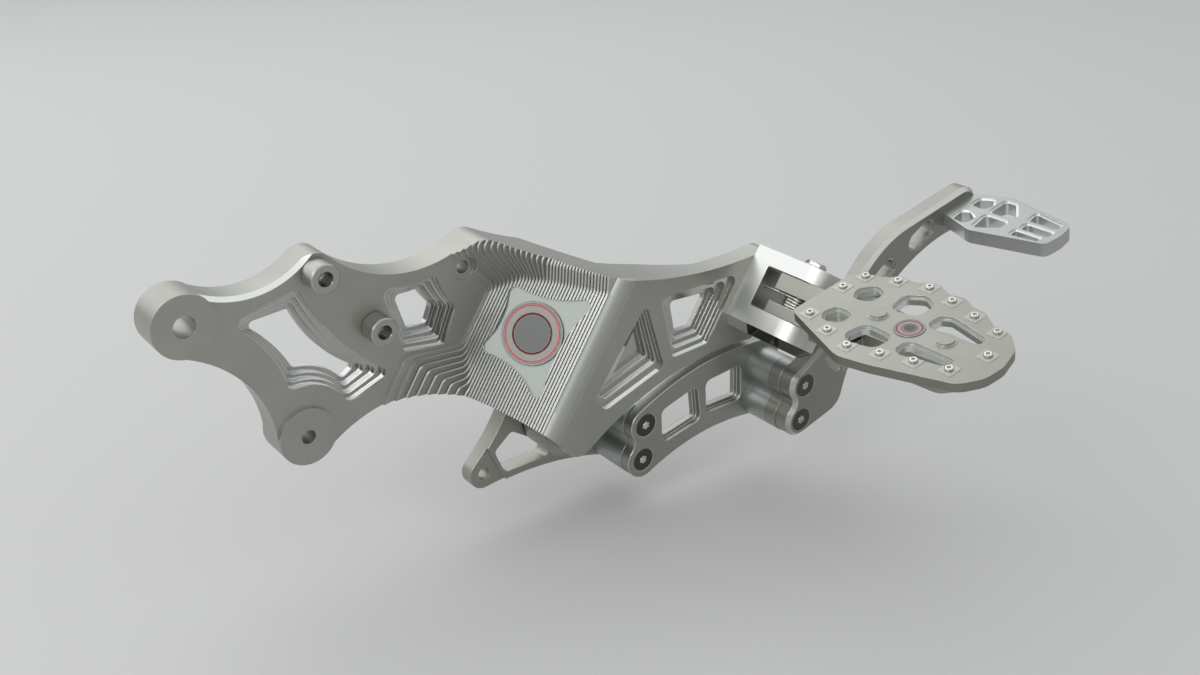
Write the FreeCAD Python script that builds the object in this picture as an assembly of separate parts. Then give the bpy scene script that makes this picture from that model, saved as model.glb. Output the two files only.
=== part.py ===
import FreeCAD, Part
import math
import os

# Right-hand forward control set of a motorcycle: a billet bracket that bolts to the frame, a
# folding platform peg in its clevis and a brake pedal of bolted plates behind it.
#
# The set is drawn in the bracket's own axes: x forwards along the bracket, y inwards to the
# motorcycle, z along the ribs, origin on the front of the main frame boss. The rider's side is -y.
# At the end every piece is turned by FITTED_TILT about y, to the angle at which the bracket is
# bolted on, so that +Z is up.
FITTED_TILT = 32.5

# Frame bosses, measured on the bracket's front.
MAIN_BOSS_R = 18.7
MAIN_BOLT_R = 6.5
LOWER_BOSS_X = 100.9
LOWER_BOSS_Z = -40.5
LOWER_BOSS_R = 18.2
LOWER_BOLT_R = 4.5
BOSS_LENGTH = 24.0
BOSS_PROUD = 2.0

# Left plate, and the outline's scallops and round corners.
LEFT_BACK = 22.0
TOP_SCALLOP_R = 54.0
LOWER_SCALLOP_R = 75.0
SADDLE_SCALLOP_R = 77.0
BACK_SCALLOP_R = 300.0
BELLY_SCALLOP_R = 89.0
APEX_X = 60.3
APEX_Z = 51.5
APEX_R = 12.0
HUMP_X = 159.5
HUMP_Z = 95.5
HUMP_R = 14.0
TOP_EDGE_CHAMFER = 2.5

# Right plate, which stands out to the rider's side, and its heel under the clevis.
RIGHT_FRONT = -65.0
RIGHT_BACK = -50.0
HEEL_X = 343.0
HEEL_Z = 124.0
HEEL_R = 4.0
PEDAL_SCALLOP_R = 200.0
HEAD_CORNER_X = 326.0
HEAD_CORNER_R = 9.7

# Terraced panel: steps of equal depth lead from the left plate to the bar on the right plate.
TERRACES = 36
PANEL_FOOT_X = 177.0
PANEL_TOP_X = 215.0
PANEL_TOP_Y = -60.0
BAR_X = 226.0
PANEL_WALL_BACK_X = 198.0
BOTTOM_SPREAD = 36.0
BOTTOM_SPREAD_DEPTH = 14.0
JOG_Z = 23.5
TOP_SPREAD = 34.0
TOP_SPREAD_DEPTH = 28.0
TOP_LEAN = 5.5
SHOULDER_Z = 93.0
SHOULDER_RISE = 17.0
SHOULDER_DROP = 11.0
SHOULDER_WIDTH = 10.0

# Star pad and its disc, measured along the panel's slope and along z.
STAR_PAD = [
    (17.0, 48.5, 4.4, 48),
    (57.0, 37.0, 4.4, 90),
    (61.3, 96.2, 4.4, 70),
    (17.5, 84.8, 4.4, 45),
]
PAD_SINK = 1.4
BADGE_R = 20.0
BADGE_T = 1.2
BADGE_RIM = 1.4
BADGE_RING_R = 12.4
BADGE_S = 38.6
BADGE_Z = 67.3

# Stepped windows: rings of lobes (x, z, radius, link), at the front and at the back.
WINDOW_STEPS = 4
BIG_WINDOW_FRONT = [
    (34, 11.5, 5, 91), (77.5, -12.5, 4, 33), (117.5, -10, 3.5, 0), (130, 8, 4, 150), (54, 35.5, 3.5, 0),
]
BIG_WINDOW_BACK = [
    (47, 9.5, 3, 85), (81.5, -3.8, 3, 40), (114.5, -1, 3, 0), (117, 3, 2.5, 90), (62.5, 21.5, 3, 0),
]
FIVE_WINDOW_FRONT = [
    (113, 54.5, 5, 0), (140, 29, 3, 0), (161, 39, 3, 0), (157.5, 60, 3, 60), (137, 70.5, 4, 80),
]
FIVE_WINDOW_BACK = [
    (130, 53, 3, 0), (144, 40.5, 2.5, 0), (153, 46, 2.5, 0), (151, 54, 3, 60), (138.5, 59, 3, 80),
]
RIGHT_WINDOW_FRONT = [(258, 119.5, 4, 0), (285, 94, 4, 0), (305, 108, 3.5, 0), (303, 148, 5, 0)]
RIGHT_WINDOW_BACK = [(276, 120, 3, 0), (287.5, 108.5, 3, 0), (296, 113.5, 3, 0), (295.5, 131.5, 3, 0)]

# Three-sided pocket beside the bar, and the slope of its floor.
POCKET_STEPS = 3
POCKET_DEPTH = 11.0
POCKET_SHALLOW = 4.0
POCKET_RUN = 47.0
POCKET_FRONT = [(245, 108, 3, 0), (241, 49, 4, 0), (249, 47, 4, 0), (276, 81, 4, 0)]
POCKET_BACK = [(246, 101, 3, 0), (242, 58, 3, 0), (245, 57, 3, 0), (265.5, 83, 3, 0)]

# Third fixing hole beside the hump, spot-faced into the terraces.
SIDE_HOLE_X = 152.7
SIDE_HOLE_Z = 86.5
SIDE_HOLE_R = 4.2
SPOT_FACE_R = 8.0
SPOT_FACE_SINK = 1.0

# Standoffs.
STANDOFFS = {"standoff_upper": (60.1, 51.8), "standoff_lower": (111.5, 34.6)}
STANDOFF_R = 9.0
STANDOFF_LENGTH = 13.0
STANDOFF_BORE_R = 4.5
STANDOFF_BORE_DEPTH = 12.0
SPIGOT_R = 6.5
SPIGOT_LENGTH = 12.0

# Clevis and the hinge of the peg.
CLEVIS_X = 313.0
EAR_WIDTH = 34.0
CLEVIS_BOTTOM = 123.5
CLEVIS_TOP = 179.7
CLEVIS_WEB_FRONT = -80.0
GAP_BOTTOM = 141.2
GAP_TOP = 169.1
LOWER_CHAMFER = 6.0
NOSE_Y = -108.0
HINGE_X = 327.0
HINGE_Y = -104.0
HINGE_R = 4.5
HINGE_HEAD_AF = 12.5
HINGE_HEAD_H = 2.8
WASHER_T = 1.0
WASHER_R = 7.5
HINGE_NUT_H = 6.0
NUT_POCKET_DEPTH = 6.5
NUT_POCKET_CLEAR = 0.2

# Pivot of the pedal behind the bracket's tip.
PIVOT_X = 241.0
PIVOT_Z = 20.0
TIP_R = 12.0
PIVOT_BOSS_R = 17.5
PIVOT_BOSS_BACK = -28.0
PIVOT_R = 6.0
PIVOT_THREAD_R = 5.0
PIVOT_THREAD_DEPTH = 24.0
PIVOT_HEAD_R = 9.5
PIVOT_HEAD_H = 6.0
THRUST_T = 1.0
THRUST_R = 14.0
PIVOT_BUSH_R = 8.5
HUB_RELIEF_R = 40.0

# Pedal: plates and spacers, held by countersunk screws.
ARM_T = 12.0
LINK_T = 8.0
REAR_PAIR = (295.4, 30.85)
FRONT_PAIR = (372.4, 97.65)
SCREW_PITCH = 25.0
SCREW_LEAN = 61.6
LINK_GAP = 1.5
LINK_END_R = 12.5
LINK_HEAD_R = 17.5
LINK_TAIL_R = 12.0
LINK_LEDGE = 2.6
FRONT_SPACER_LENGTH = 30.5
PEDAL_T = 12.5
SPACER_R = 12.8
SPACER_WAIST = 8.0
SCREW_R = 4.0
SCREW_HEAD_R = 8.0
STAR_SOCKET_R = 2.2
STAR_LOBE_R = 0.7
STAR_SCALLOP_R = 0.9
SCREW_SOCKET_DEPTH = 3.5
TAB_HOLE_X = 216.0
TAB_HOLE_Z = -27.8
TAB_HOLE_R = 4.2
TAB_R = 10.2
TAB_STEP = 2.0
TAB_STEP_LINE = [(208.4, -11.3), (233.3, -26.9)]
HUB_R = 16.0
HUB_CORNER = (222.0, 14.0, 13.0, 120)
ARM_BELLY_R = 200.0
ARM_WINDOW = [(220, 4, 3), (214.5, -12, 3.5), (230, -23, 4), (257, -5, 3), (256, 3.5, 3)]

# Windows of the link plate, each measured from the middle of the screw pair beside it.
LINK_REAR_WINDOW = [(1.6, 23.2, 5), (16.1, 3.2, 5), (40.1, 27.2, 5), (22.6, 47.7, 5)]
LINK_FRONT_WINDOW = [(-48.9, -15.2, 5), (-34.4, -34.2, 5), (-8.4, -17.2, 5), (-23.9, 4.9, 5)]

# Pedal arm: lobes above its lower screws, and the two slots.
ARM_ELBOW = (391.0, 109.5, 17.5, 120)
ARM_TIP = (440.3, 265.6, 14.4, 0)
ARM_SHIN = (443.7, 184.1, 73.1, 120)
ARM_SCREW_R = 12.3
ARM_CHAMFER = 2.6
SLOTS = [((406.9, 227.8), (413.0, 239.5)), ((388.0, 190.0), (393.0, 203.5))]
SLOT_R = 5.6
SLOT_RIM = 1.2

# Tread plane and toe pad plane: both lean back by the same angle from the ribs.
TREAD_TILT = 45.0
TREAD_H = -94.3
TREAD_T = 6.0
PAD_H = -117.7
PAD_T = 10.0
PAD_SCREW_R = 2.5
PAD_SCREW_HEAD_R = 4.2
PAD_SCREW_DEPTH = 6.5
STUD_R = 2.6
STUD_PROUD = 1.3
STUD_SOCKET_R = 1.2
STUD_SOCKET_DEPTH = 1.2
STUD_CHAMFER = 0.5
STUD_PAD = 9.5
STUD_PAD_H = 0.4
DISC_R = 5.3
DISC_H = 1.6
DISC_STEP_R = 6.6
DISC_STEP_H = 0.6
TREAD_BADGE_R = 6.2
TREAD_BADGE_T = 0.8
TREAD_SCREW_R = 2.5
TREAD_SCREW_HEAD_R = 4.2
TREAD_SCREW_HEAD_H = 4.0
TREAD_SCREW_END = -1.2

# Toe pad in its own axes (u forwards, b outboard): outline and pockets as corners (u, b, round).
PAD_LEFT_U = 478.0
PAD_RIGHT_U = 509.5
PAD_OUTLINE = [(469, 136, 8), (481, 187.5, 5), (495, 189, 25), (510, 186.5, 6), (519.5, 133, 9)]
PAD_RECESS = 1.2
PAD_RECESS_WIDTH = 1.6
PAD_POCKETS = [
    [(477.5, 116.5, 2), (476, 127, 2), (485, 128, 2), (490, 121, 2), (487, 115.5, 2)],
    [(498.5, 115.5, 2), (498, 126, 2), (505, 128, 2), (511.5, 124, 2), (507, 115.5, 2)],
    [(474, 135, 2), (483.5, 150, 3), (492, 150, 3), (492, 132.5, 3)],
    [(497, 132, 3), (497, 150, 2), (501, 150, 2), (514, 140, 3), (514, 132, 3)],
    [(501.5, 160, 2), (501, 181, 2), (507, 181, 2), (511, 159, 2)],
    [(490, 162, 2), (490, 182.5, 2), (496.5, 182.5, 2), (496.5, 162, 2)],
    [(480, 161, 1.5), (482.5, 180, 1.5), (486, 180, 1.5), (486, 161, 1.5)],
]
PAD_SCREW_U = (485.5, 501.5)

# Tread in its own axes: outline waved between the studs of its front edge, windows, studs.
TREAD_EDGE = 139.0
TREAD_OUTLINE = [
    (304, TREAD_EDGE, 5), (285, 192, 18), (289, 212, 40), (304, 262, 14), (317, 270, 14),
    (331, 271, 16), (348, 266, 12), (358, 255, 6), (359, 243, 5), (367, 231, 6),
    (368, 221, 5), (373, 212, 6), (371, 202, 5), (376.5, 189, 6), (370, 178, 5),
    (369.5, 166, 5), (364, 158, 5), (356, TREAD_EDGE, 4),
]
TREAD_WINDOWS = [
    [(307, 160, 5), (310.5, 172, 5.5), (323, 171.5, 5.5), (323.5, 158, 5.5), (314, 154.5, 5.5)],
    [(334.5, 158.5, 5.5), (338, 171, 5.5), (351, 171, 5.5), (354, 161.5, 5), (345, 153.5, 5.5)],
    [(298.5, 187, 6.5), (303.5, 205, 6.5), (319.5, 206, 6.5), (320, 183.5, 6.5), (305, 180.5, 6.5)],
    [(338.5, 183.5, 6.5), (341.5, 203, 6.5), (357.5, 203, 6), (362.5, 193, 6), (355.5, 181, 6.5)],
    [(337, 211.5, 5.5), (339.5, 248, 3.4), (347, 248, 3.4), (353.5, 219, 6), (350, 212, 5)],
    [(305.5, 213.5, 6), (313, 247.5, 3.4), (321, 247.5, 3.4), (321.5, 213.5, 6)],
]
TREAD_LEDGE = 1.6
TREAD_LEDGE_DEPTH = 2.0
STUD_PLACES = [
    (308, 150), (301, 170.5), (296, 190.5), (301, 210.5), (306.5, 230), (312, 250),
    (334.5, 258), (355.5, 248), (361, 228), (366, 208), (370, 188), (365, 168), (358, 148.5),
    (341, 145.5),
]
DISC_PLACES = [(331, 182.7), (332, 231)]
TREAD_BADGE_PLACE = (330, 207)

# Beam of the carrier under the tread, and the bolt in its rear ear.
BEAM_LEFT_U = 314.0
BEAM_MIDDLE_U = 331.0
BEAM_RIGHT_U = 354.0
BEAM_TAPER = 6.0
BEAM_END = 244.0
BEAM_NOSE = 9.0
BEAM_DEPTH = 28.0
ROOT_LENGTH = 26.0
CARRIER_EAR = (300.0, 170.0)
CARRIER_EAR_SIZE = (24.0, 14.0, 12.0)
CARRIER_BOLT_B = 178.0
CARRIER_BOLT_H = -17.0
CARRIER_BOLT_R = 3.0
CARRIER_BOLT_AF = 10.0
CARRIER_BOLT_HEAD_H = 4.5
CARRIER_BOLT_LENGTH = 22.0

# Lugs of the peg carrier between the ears, and the spring between the lugs.
LUG_HALF = 12.0
LUG_INBOARD = 13.0
LUG_CLEAR = 0.35
UPPER_LUG_T = 11.0
LOWER_LUG_T = 7.6
LUG_BUSH_R = 7.0
COIL_R = 8.6
WIRE_R = 0.9
SPRING_LEG_X = 319.6

# Clearances, each all round.
RUNNING = 0.04
SCREW_CLEAR = 0.2
THREAD_CLEAR = 0.03
SEAT_CLEAR = 0.02
SIDE_CLEAR = 0.3

V = FreeCAD.Vector
ORIGIN = V(0, 0, 0)
AXIS_X = V(1, 0, 0)
AXIS_Y = V(0, 1, 0)
AXIS_Z = V(0, 0, 1)
FAR = 400.0

LEFT_FRONT = BOSS_PROUD
PIVOT = (PIVOT_X, PIVOT_Z)
PANEL_DEPTH = LEFT_FRONT - PANEL_TOP_Y
TERRACE_STEP = PANEL_DEPTH / TERRACES
NOSE_X = CLEVIS_X + EAR_WIDTH / 2
NOSE_R = EAR_WIDTH / 2
CARRIER_ROOT_Y = NOSE_Y - NOSE_R - 3
CLEVIS_BACK_X = CLEVIS_X + EAR_WIDTH
LINK_BACK = RIGHT_FRONT + LINK_T
ARM_FRONT = PIVOT_BOSS_BACK + THRUST_T + SIDE_CLEAR
ARM_BACK = ARM_FRONT + ARM_T
PEDAL_BACK = RIGHT_FRONT - FRONT_SPACER_LENGTH
PEDAL_FRONT = PEDAL_BACK - PEDAL_T
TREAD_SCREW_SEAT = 8 - BEAM_DEPTH
SPACER_HOLE_R = SCREW_R + SCREW_CLEAR


# Outlines are drawn in the x-z plane, with the material on the left of the way round.

def at(x, z):
    return V(x, 0, z)


def turn_arc(centre, radius, start, end, left):
    """Arc about a centre from the start angle to the end angle, turning left or right."""
    if left and end < start:
        end += 2 * math.pi
    if not left and end > start:
        end -= 2 * math.pi
    if abs(end - start) * radius < 1e-4:
        return None
    points = []
    for angle in (start, (start + end) / 2, end):
        points.append(at(centre[0] + radius * math.cos(angle), centre[1] + radius * math.sin(angle)))
    return Part.Arc(points[0], points[1], points[2]).toShape()


def side_centre(first, second, first_reach, second_reach, right):
    """Point at the given distances from two centres, on the right or left of the line."""
    dx = second[0] - first[0]
    dz = second[1] - first[1]
    gap = math.hypot(dx, dz)
    along = (first_reach ** 2 - second_reach ** 2 + gap ** 2) / (2 * gap)
    across = math.sqrt(first_reach ** 2 - along ** 2)
    sign = 1 if right else -1
    x = first[0] + along * dx / gap + sign * across * dz / gap
    z = first[1] + along * dz / gap - sign * across * dx / gap
    return x, z


def angle_from(centre, point):
    return math.atan2(point[1] - centre[1], point[0] - centre[0])


def link_angles(first, second):
    """Angles at which the link from one lobe to the next leaves and arrives, and its arc."""
    xa, za, ra, link = first
    xb, zb, rb = second[:3]
    if link == 0:
        gap = math.hypot(xb - xa, zb - za)
        tangent = math.atan2(zb - za, xb - xa) - math.acos((ra - rb) / gap)
        return tangent, tangent, None
    reach = abs(link)
    if link > 0:
        centre = side_centre((xa, za), (xb, zb), reach + ra, reach + rb, True)
        leave = angle_from((xa, za), centre)
        arrive = angle_from((xb, zb), centre)
        return leave, arrive, (centre, reach, leave + math.pi, arrive + math.pi, False)
    centre = side_centre((xa, za), (xb, zb), reach - ra, reach - rb, False)
    leave = angle_from(centre, (xa, za))
    arrive = angle_from(centre, (xb, zb))
    return leave, arrive, (centre, reach, leave, arrive, True)


def lobed(lobes):
    """Closed outline round a ring of circles (x, z, radius, link to the next). A link of 0 is
    a straight tangent, a positive one a scallop of that radius, a negative one a bulge."""
    count = len(lobes)
    links = [link_angles(lobes[i], lobes[(i + 1) % count]) for i in range(count)]
    edges = []
    for i in range(count):
        x, z, radius, _ = lobes[i]
        leave, arrive, arc = links[i]
        lobe_arc = turn_arc((x, z), radius, norm(links[i - 1][1]), norm(leave), True)
        if lobe_arc:
            edges.append(lobe_arc)
        if arc:
            centre, reach, start, end, left = arc
            edges.append(turn_arc(centre, reach, norm(start), norm(end), left))
            continue
        after = lobes[(i + 1) % count]
        start = at(x + radius * math.cos(leave), z + radius * math.sin(leave))
        end = at(after[0] + after[2] * math.cos(arrive), after[1] + after[2] * math.sin(arrive))
        edges.append(Part.makeLine(start, end))
    return Part.Wire(edges)


def norm(angle):
    return angle % (2 * math.pi)


def rounded(corners):
    """Closed polygon (x, z, fillet radius) with its corners rounded, inwards or outwards."""
    count = len(corners)
    ends = []
    for i in range(count):
        x, z, radius = corners[i]
        before = at(*corners[i - 1][:2]) - at(x, z)
        after = at(*corners[(i + 1) % count][:2]) - at(x, z)
        half = before.getAngle(after) / 2
        if radius == 0 or abs(half - math.pi / 2) < 1e-3:
            ends.append((at(x, z), None, at(x, z)))
            continue
        before.normalize()
        after.normalize()
        setback = radius / math.tan(half)
        bisector = before + after
        bisector.normalize()
        middle = at(x, z) + bisector * (radius / math.sin(half) - radius)
        ends.append((at(x, z) + before * setback, middle, at(x, z) + after * setback))
    edges = []
    for i in range(count):
        start, middle, end = ends[i]
        if middle:
            edges.append(Part.Arc(start, middle, end).toShape())
        following = ends[(i + 1) % count][0]
        if end.distanceToPoint(following) > 1e-6:
            edges.append(Part.makeLine(end, following))
    return Part.Wire(edges)


def plate(wire, front, back):
    """Solid of an outline between two depths."""
    face = Part.Face(wire)
    face.translate(V(0, front, 0))
    return face.extrude(V(0, back - front, 0))


def bar(centre, radius, front, back):
    """Cylinder along y."""
    return Part.makeCylinder(radius, back - front, V(centre[0], front, centre[1]), AXIS_Y)


def blend(outer, inner, share):
    """Outline part of the way from an outer to an inner one with as many corners."""
    return [tuple(a + share * (b - a) for a, b in zip(p, q)) for p, q in zip(outer, inner)]


def grown(corners, width):
    """Corners moved outwards from an outline by a width, or inwards by a negative one."""
    count = len(corners)
    moved = []
    for i in range(count):
        x, z, radius = corners[i]
        before = at(*corners[i - 1][:2]) - at(x, z)
        after = at(*corners[(i + 1) % count][:2]) - at(x, z)
        half = before.getAngle(after) / 2
        before.normalize()
        after.normalize()
        bisector = before + after
        bisector.normalize()
        place = at(x, z) - bisector * (width / math.sin(half))
        moved.append((place.x, place.z, radius + width))
    return moved


def stepped_window(outer, inner, front, back, steps):
    """Cutter for a window whose outline shrinks by equal steps from its front to its back."""
    cutter = plate(lobed(outer), front - 1, front + (back - front) / steps)
    for k in range(1, steps):
        depth = front + (back - front) * (k + 1) / steps
        end = depth + 1 if k == steps - 1 else depth
        cutter = cutter.fuse(plate(lobed(blend(outer, inner, k / (steps - 1))), front - 1, end))
    return cutter


def hexagon(af, height):
    """Hexagonal prism along z, from z = 0."""
    corner = af / math.sqrt(3)
    points = [V(corner * math.cos(math.radians(60 * k)), corner * math.sin(math.radians(60 * k)), 0)
              for k in range(7)]
    return Part.Face(Part.makePolygon(points)).extrude(V(0, 0, height))


def star_socket():
    """Cutter for a six-lobed socket along +y, from y = 0."""
    lobes = []
    for k in range(6):
        angle = math.radians(60 * k)
        lobes.append((STAR_SOCKET_R * math.cos(angle), STAR_SOCKET_R * math.sin(angle), STAR_LOBE_R,
                      STAR_SCALLOP_R))
    return plate(lobed(lobes), -1, SCREW_SOCKET_DEPTH)


def countersunk_screw(length):
    """Countersunk screw along +y with its head's face at y = 0."""
    cone = Part.makeCone(SCREW_HEAD_R, SCREW_R, SCREW_HEAD_R - SCREW_R, ORIGIN, AXIS_Y)
    shank = Part.makeCylinder(SCREW_R, length, ORIGIN, AXIS_Y)
    return cone.fuse(shank).cut(star_socket())


def countersink(centre, front):
    """Cutter for a countersunk screw's head and shank, from the front of a plate along +y."""
    head = SCREW_HEAD_R + SCREW_CLEAR
    neck = SPACER_HOLE_R
    cone = Part.makeCone(head, neck, head - neck, V(centre[0], front, centre[1]), AXIS_Y)
    return cone.fuse(bar(centre, neck, front - 1, front + PEDAL_T + 1))


def lean(shape, height):
    """Carry a shape from a tread's own axes (x forwards, y up, z outboard) to the bracket's."""
    shape.rotate(ORIGIN, AXIS_X, 90)
    shape.rotate(ORIGIN, AXIS_Y, -TREAD_TILT)
    tilt = math.radians(TREAD_TILT)
    shape.translate(V(-math.sin(tilt) * height, 0, math.cos(tilt) * height))
    return shape


def screw_pair(middle):
    """Upper and lower screw of a pair round its middle."""
    half_x = SCREW_PITCH / 2 * math.cos(math.radians(SCREW_LEAN))
    half_z = SCREW_PITCH / 2 * math.sin(math.radians(SCREW_LEAN))
    return (middle[0] - half_x, middle[1] + half_z), (middle[0] + half_x, middle[1] - half_z)


W_UPPER, W_LOWER = screw_pair(REAR_PAIR)
B_UPPER, B_LOWER = screw_pair(FRONT_PAIR)


# Bracket.

TIP_LOBE = (PIVOT_X, PIVOT_Z, TIP_R, PEDAL_SCALLOP_R)
HEEL_LOBE = (HEEL_X, HEEL_Z, HEEL_R, 0)
BRACKET_LOBES = [
    (0, 0, MAIN_BOSS_R, LOWER_SCALLOP_R),
    (LOWER_BOSS_X, LOWER_BOSS_Z, LOWER_BOSS_R, BELLY_SCALLOP_R),
    TIP_LOBE,
    HEEL_LOBE,
    (CLEVIS_BACK_X - 4, CLEVIS_TOP - 4, 4, 0),
    (HEAD_CORNER_X, CLEVIS_TOP - HEAD_CORNER_R, HEAD_CORNER_R, BACK_SCALLOP_R),
    (HUMP_X, HUMP_Z, HUMP_R, SADDLE_SCALLOP_R),
    (APEX_X, APEX_Z, APEX_R, TOP_SCALLOP_R),
]


def column(points):
    """Prism along z of an outline given by (x, y) points."""
    corners = [V(x, y, -FAR) for x, y in points]
    return Part.Face(Part.makePolygon(corners + corners[:1])).extrude(V(0, 0, 2 * FAR))


def bracket_blank():
    """Billet with the bracket's outline, its back stepping outwards behind the panel."""
    blank = plate(lobed(BRACKET_LOBES), RIGHT_FRONT, LEFT_BACK)
    foot = V(PANEL_WALL_BACK_X, LEFT_BACK, 0)
    behind = column([
        (foot.x, LEFT_BACK + 1),
        (foot.x, LEFT_BACK),
        (BAR_X - 4, PIVOT_BOSS_BACK),
        (BAR_X + 21, PIVOT_BOSS_BACK - 6),
        (BAR_X + 53, RIGHT_BACK),
        (FAR, RIGHT_BACK),
        (FAR, LEFT_BACK + 1),
    ])
    return blank.cut(behind)


def contour(depth):
    """Line where the material begins at a depth of the panel, bottom to top, as corners.

    Along the panel it stands upright. Below the second window the first lines run out to the
    left, and above the star pad every line leans back, the first ones far round the fixing hole.
    """
    below = LEFT_FRONT - depth
    share = below / PANEL_DEPTH
    middle = PANEL_FOOT_X + (PANEL_TOP_X - PANEL_FOOT_X) * share
    low_spread = max(0.0, 1 - below / BOTTOM_SPREAD_DEPTH)
    high_spread = max(0.0, 1 - below / TOP_SPREAD_DEPTH)
    bottom = middle - BOTTOM_SPREAD * low_spread
    top = middle - TOP_LEAN - TOP_SPREAD * high_spread
    jog = JOG_Z - 8 * (1 - low_spread)
    shoulder = SHOULDER_Z + SHOULDER_RISE * share - SHOULDER_DROP * low_spread
    return [
        (bottom, -FAR / 2, 0),
        (bottom, jog, 4 * low_spread + 3),
        (middle, jog + 0.44 * (middle - bottom) + 3, 6),
        (middle, shoulder, 6),
        (top, shoulder + SHOULDER_WIDTH, 6),
        (top, FAR / 2, 0),
    ]


def panel_void():
    """What is milled away in front of the left plate, as one slab for each terrace."""
    left = [(-FAR / 2, FAR / 2, 0), (-FAR / 2, -FAR / 2, 0)]
    slabs = []
    for k in range(TERRACES):
        depth = LEFT_FRONT - k * TERRACE_STEP
        slabs.append(plate(rounded(contour(depth) + left), depth - TERRACE_STEP, depth))
    front = [(PANEL_TOP_X, -FAR / 2, 0), (PANEL_TOP_X, FAR / 2, 0)]
    slabs.append(plate(rounded(front + left), RIGHT_FRONT - 1, PANEL_TOP_Y))
    return slabs


def bar_crown():
    """What is milled off the bar's corner, to leave it rounded from the panel to the front."""
    start = V(PANEL_TOP_X, PANEL_TOP_Y, -FAR)
    end = V(BAR_X, RIGHT_FRONT, -FAR)
    middle = (start + end) * 0.5 + V(-1.2, -1.6, 0)
    outside = V(PANEL_TOP_X, RIGHT_FRONT - 2, -FAR)
    beyond = V(BAR_X, RIGHT_FRONT - 2, -FAR)
    edges = [
        Part.Arc(start, middle, end).toShape(),
        Part.makeLine(end, beyond),
        Part.makeLine(beyond, outside),
        Part.makeLine(outside, start),
    ]
    return Part.Face(Part.Wire(edges)).extrude(V(0, 0, 2 * FAR))


def on_panel(shape):
    """Carry a shape drawn along x and z, +y inwards, on to the panel's slope."""
    angle = math.degrees(math.atan2(PANEL_TOP_Y - LEFT_FRONT, PANEL_TOP_X - PANEL_FOOT_X))
    shape.rotate(ORIGIN, AXIS_Z, angle)
    shape.translate(V(PANEL_FOOT_X, LEFT_FRONT, 0))
    return shape


def star_pad():
    """Cutter for the flat four-pointed pad in the middle of the panel."""
    return on_panel(plate(lobed(STAR_PAD), -12, PAD_SINK))


def top_edge_chamfer():
    """Cutter for the chamfer along the scallop from the main boss to the apex."""
    centre = side_centre((APEX_X, APEX_Z), (0, 0), TOP_SCALLOP_R + APEX_R, TOP_SCALLOP_R + MAIN_BOSS_R,
                         True)
    return Part.makeCone(TOP_SCALLOP_R + TOP_EDGE_CHAMFER, TOP_SCALLOP_R, TOP_EDGE_CHAMFER,
                         V(centre[0], LEFT_FRONT, centre[1]), AXIS_Y)


def clevis():
    """Ears of the clevis with their rounded noses, the gap between them left solid."""
    height = CLEVIS_TOP - CLEVIS_BOTTOM
    block = Part.makeBox(EAR_WIDTH, RIGHT_FRONT - NOSE_Y, height, V(CLEVIS_X, NOSE_Y, CLEVIS_BOTTOM))
    nose = Part.makeCylinder(NOSE_R, height, V(NOSE_X, NOSE_Y, CLEVIS_BOTTOM), AXIS_Z)
    body = block.fuse(nose).removeSplitter()
    low = [e for e in body.Edges
           if abs(e.BoundBox.ZMax - CLEVIS_BOTTOM) < 1e-6 and e.BoundBox.YMin < RIGHT_FRONT - 1]
    return body.makeChamfer(LOWER_CHAMFER, low)


def clevis_gap():
    """Cutter for the gap between the ears."""
    depth = CLEVIS_WEB_FRONT - (NOSE_Y - NOSE_R - 1)
    base = V(CLEVIS_X - 1, NOSE_Y - NOSE_R - 1, GAP_BOTTOM)
    gap = Part.makeBox(EAR_WIDTH + 2, depth, GAP_TOP - GAP_BOTTOM, base)
    inner = [e for e in gap.Edges
             if abs(e.BoundBox.YMin - CLEVIS_WEB_FRONT) < 1e-6 and e.BoundBox.XLength > EAR_WIDTH]
    return gap.makeFillet(1.5, inner)


def nut_pocket():
    """Cutter for the six-sided pocket that holds the hinge nut under the lower ear."""
    pocket = hexagon(HINGE_HEAD_AF + 2 * NUT_POCKET_CLEAR, NUT_POCKET_DEPTH + 1)
    pocket.translate(V(HINGE_X, HINGE_Y, CLEVIS_BOTTOM - 1))
    return pocket


def left_windows():
    """Cutters for the big four-sided window and for the five-sided one."""
    pairs = [(BIG_WINDOW_FRONT, BIG_WINDOW_BACK), (FIVE_WINDOW_FRONT, FIVE_WINDOW_BACK)]
    return [stepped_window(front, back, LEFT_FRONT, LEFT_BACK, WINDOW_STEPS) for front, back in pairs]


def right_window():
    """Cutter for the stepped window of the right plate."""
    cutter = stepped_window(RIGHT_WINDOW_FRONT, RIGHT_WINDOW_BACK, RIGHT_FRONT, RIGHT_BACK, WINDOW_STEPS)
    return cutter.fuse(plate(lobed(RIGHT_WINDOW_BACK), RIGHT_BACK - 1, PIVOT_BOSS_BACK))


def right_pocket():
    """Cutter for the three-sided pocket beside the bar, whose floor falls away to the right."""
    steps = stepped_window(POCKET_FRONT, POCKET_BACK, RIGHT_FRONT, RIGHT_FRONT + POCKET_DEPTH,
                           POCKET_STEPS)
    left = BAR_X + 8
    right = left + POCKET_RUN
    wedge = column([
        (left, RIGHT_FRONT - 2),
        (left, RIGHT_FRONT + POCKET_SHALLOW),
        (right, RIGHT_FRONT + POCKET_DEPTH + 12),
        (right, RIGHT_FRONT - 2),
    ])
    return steps.common(wedge)


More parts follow.
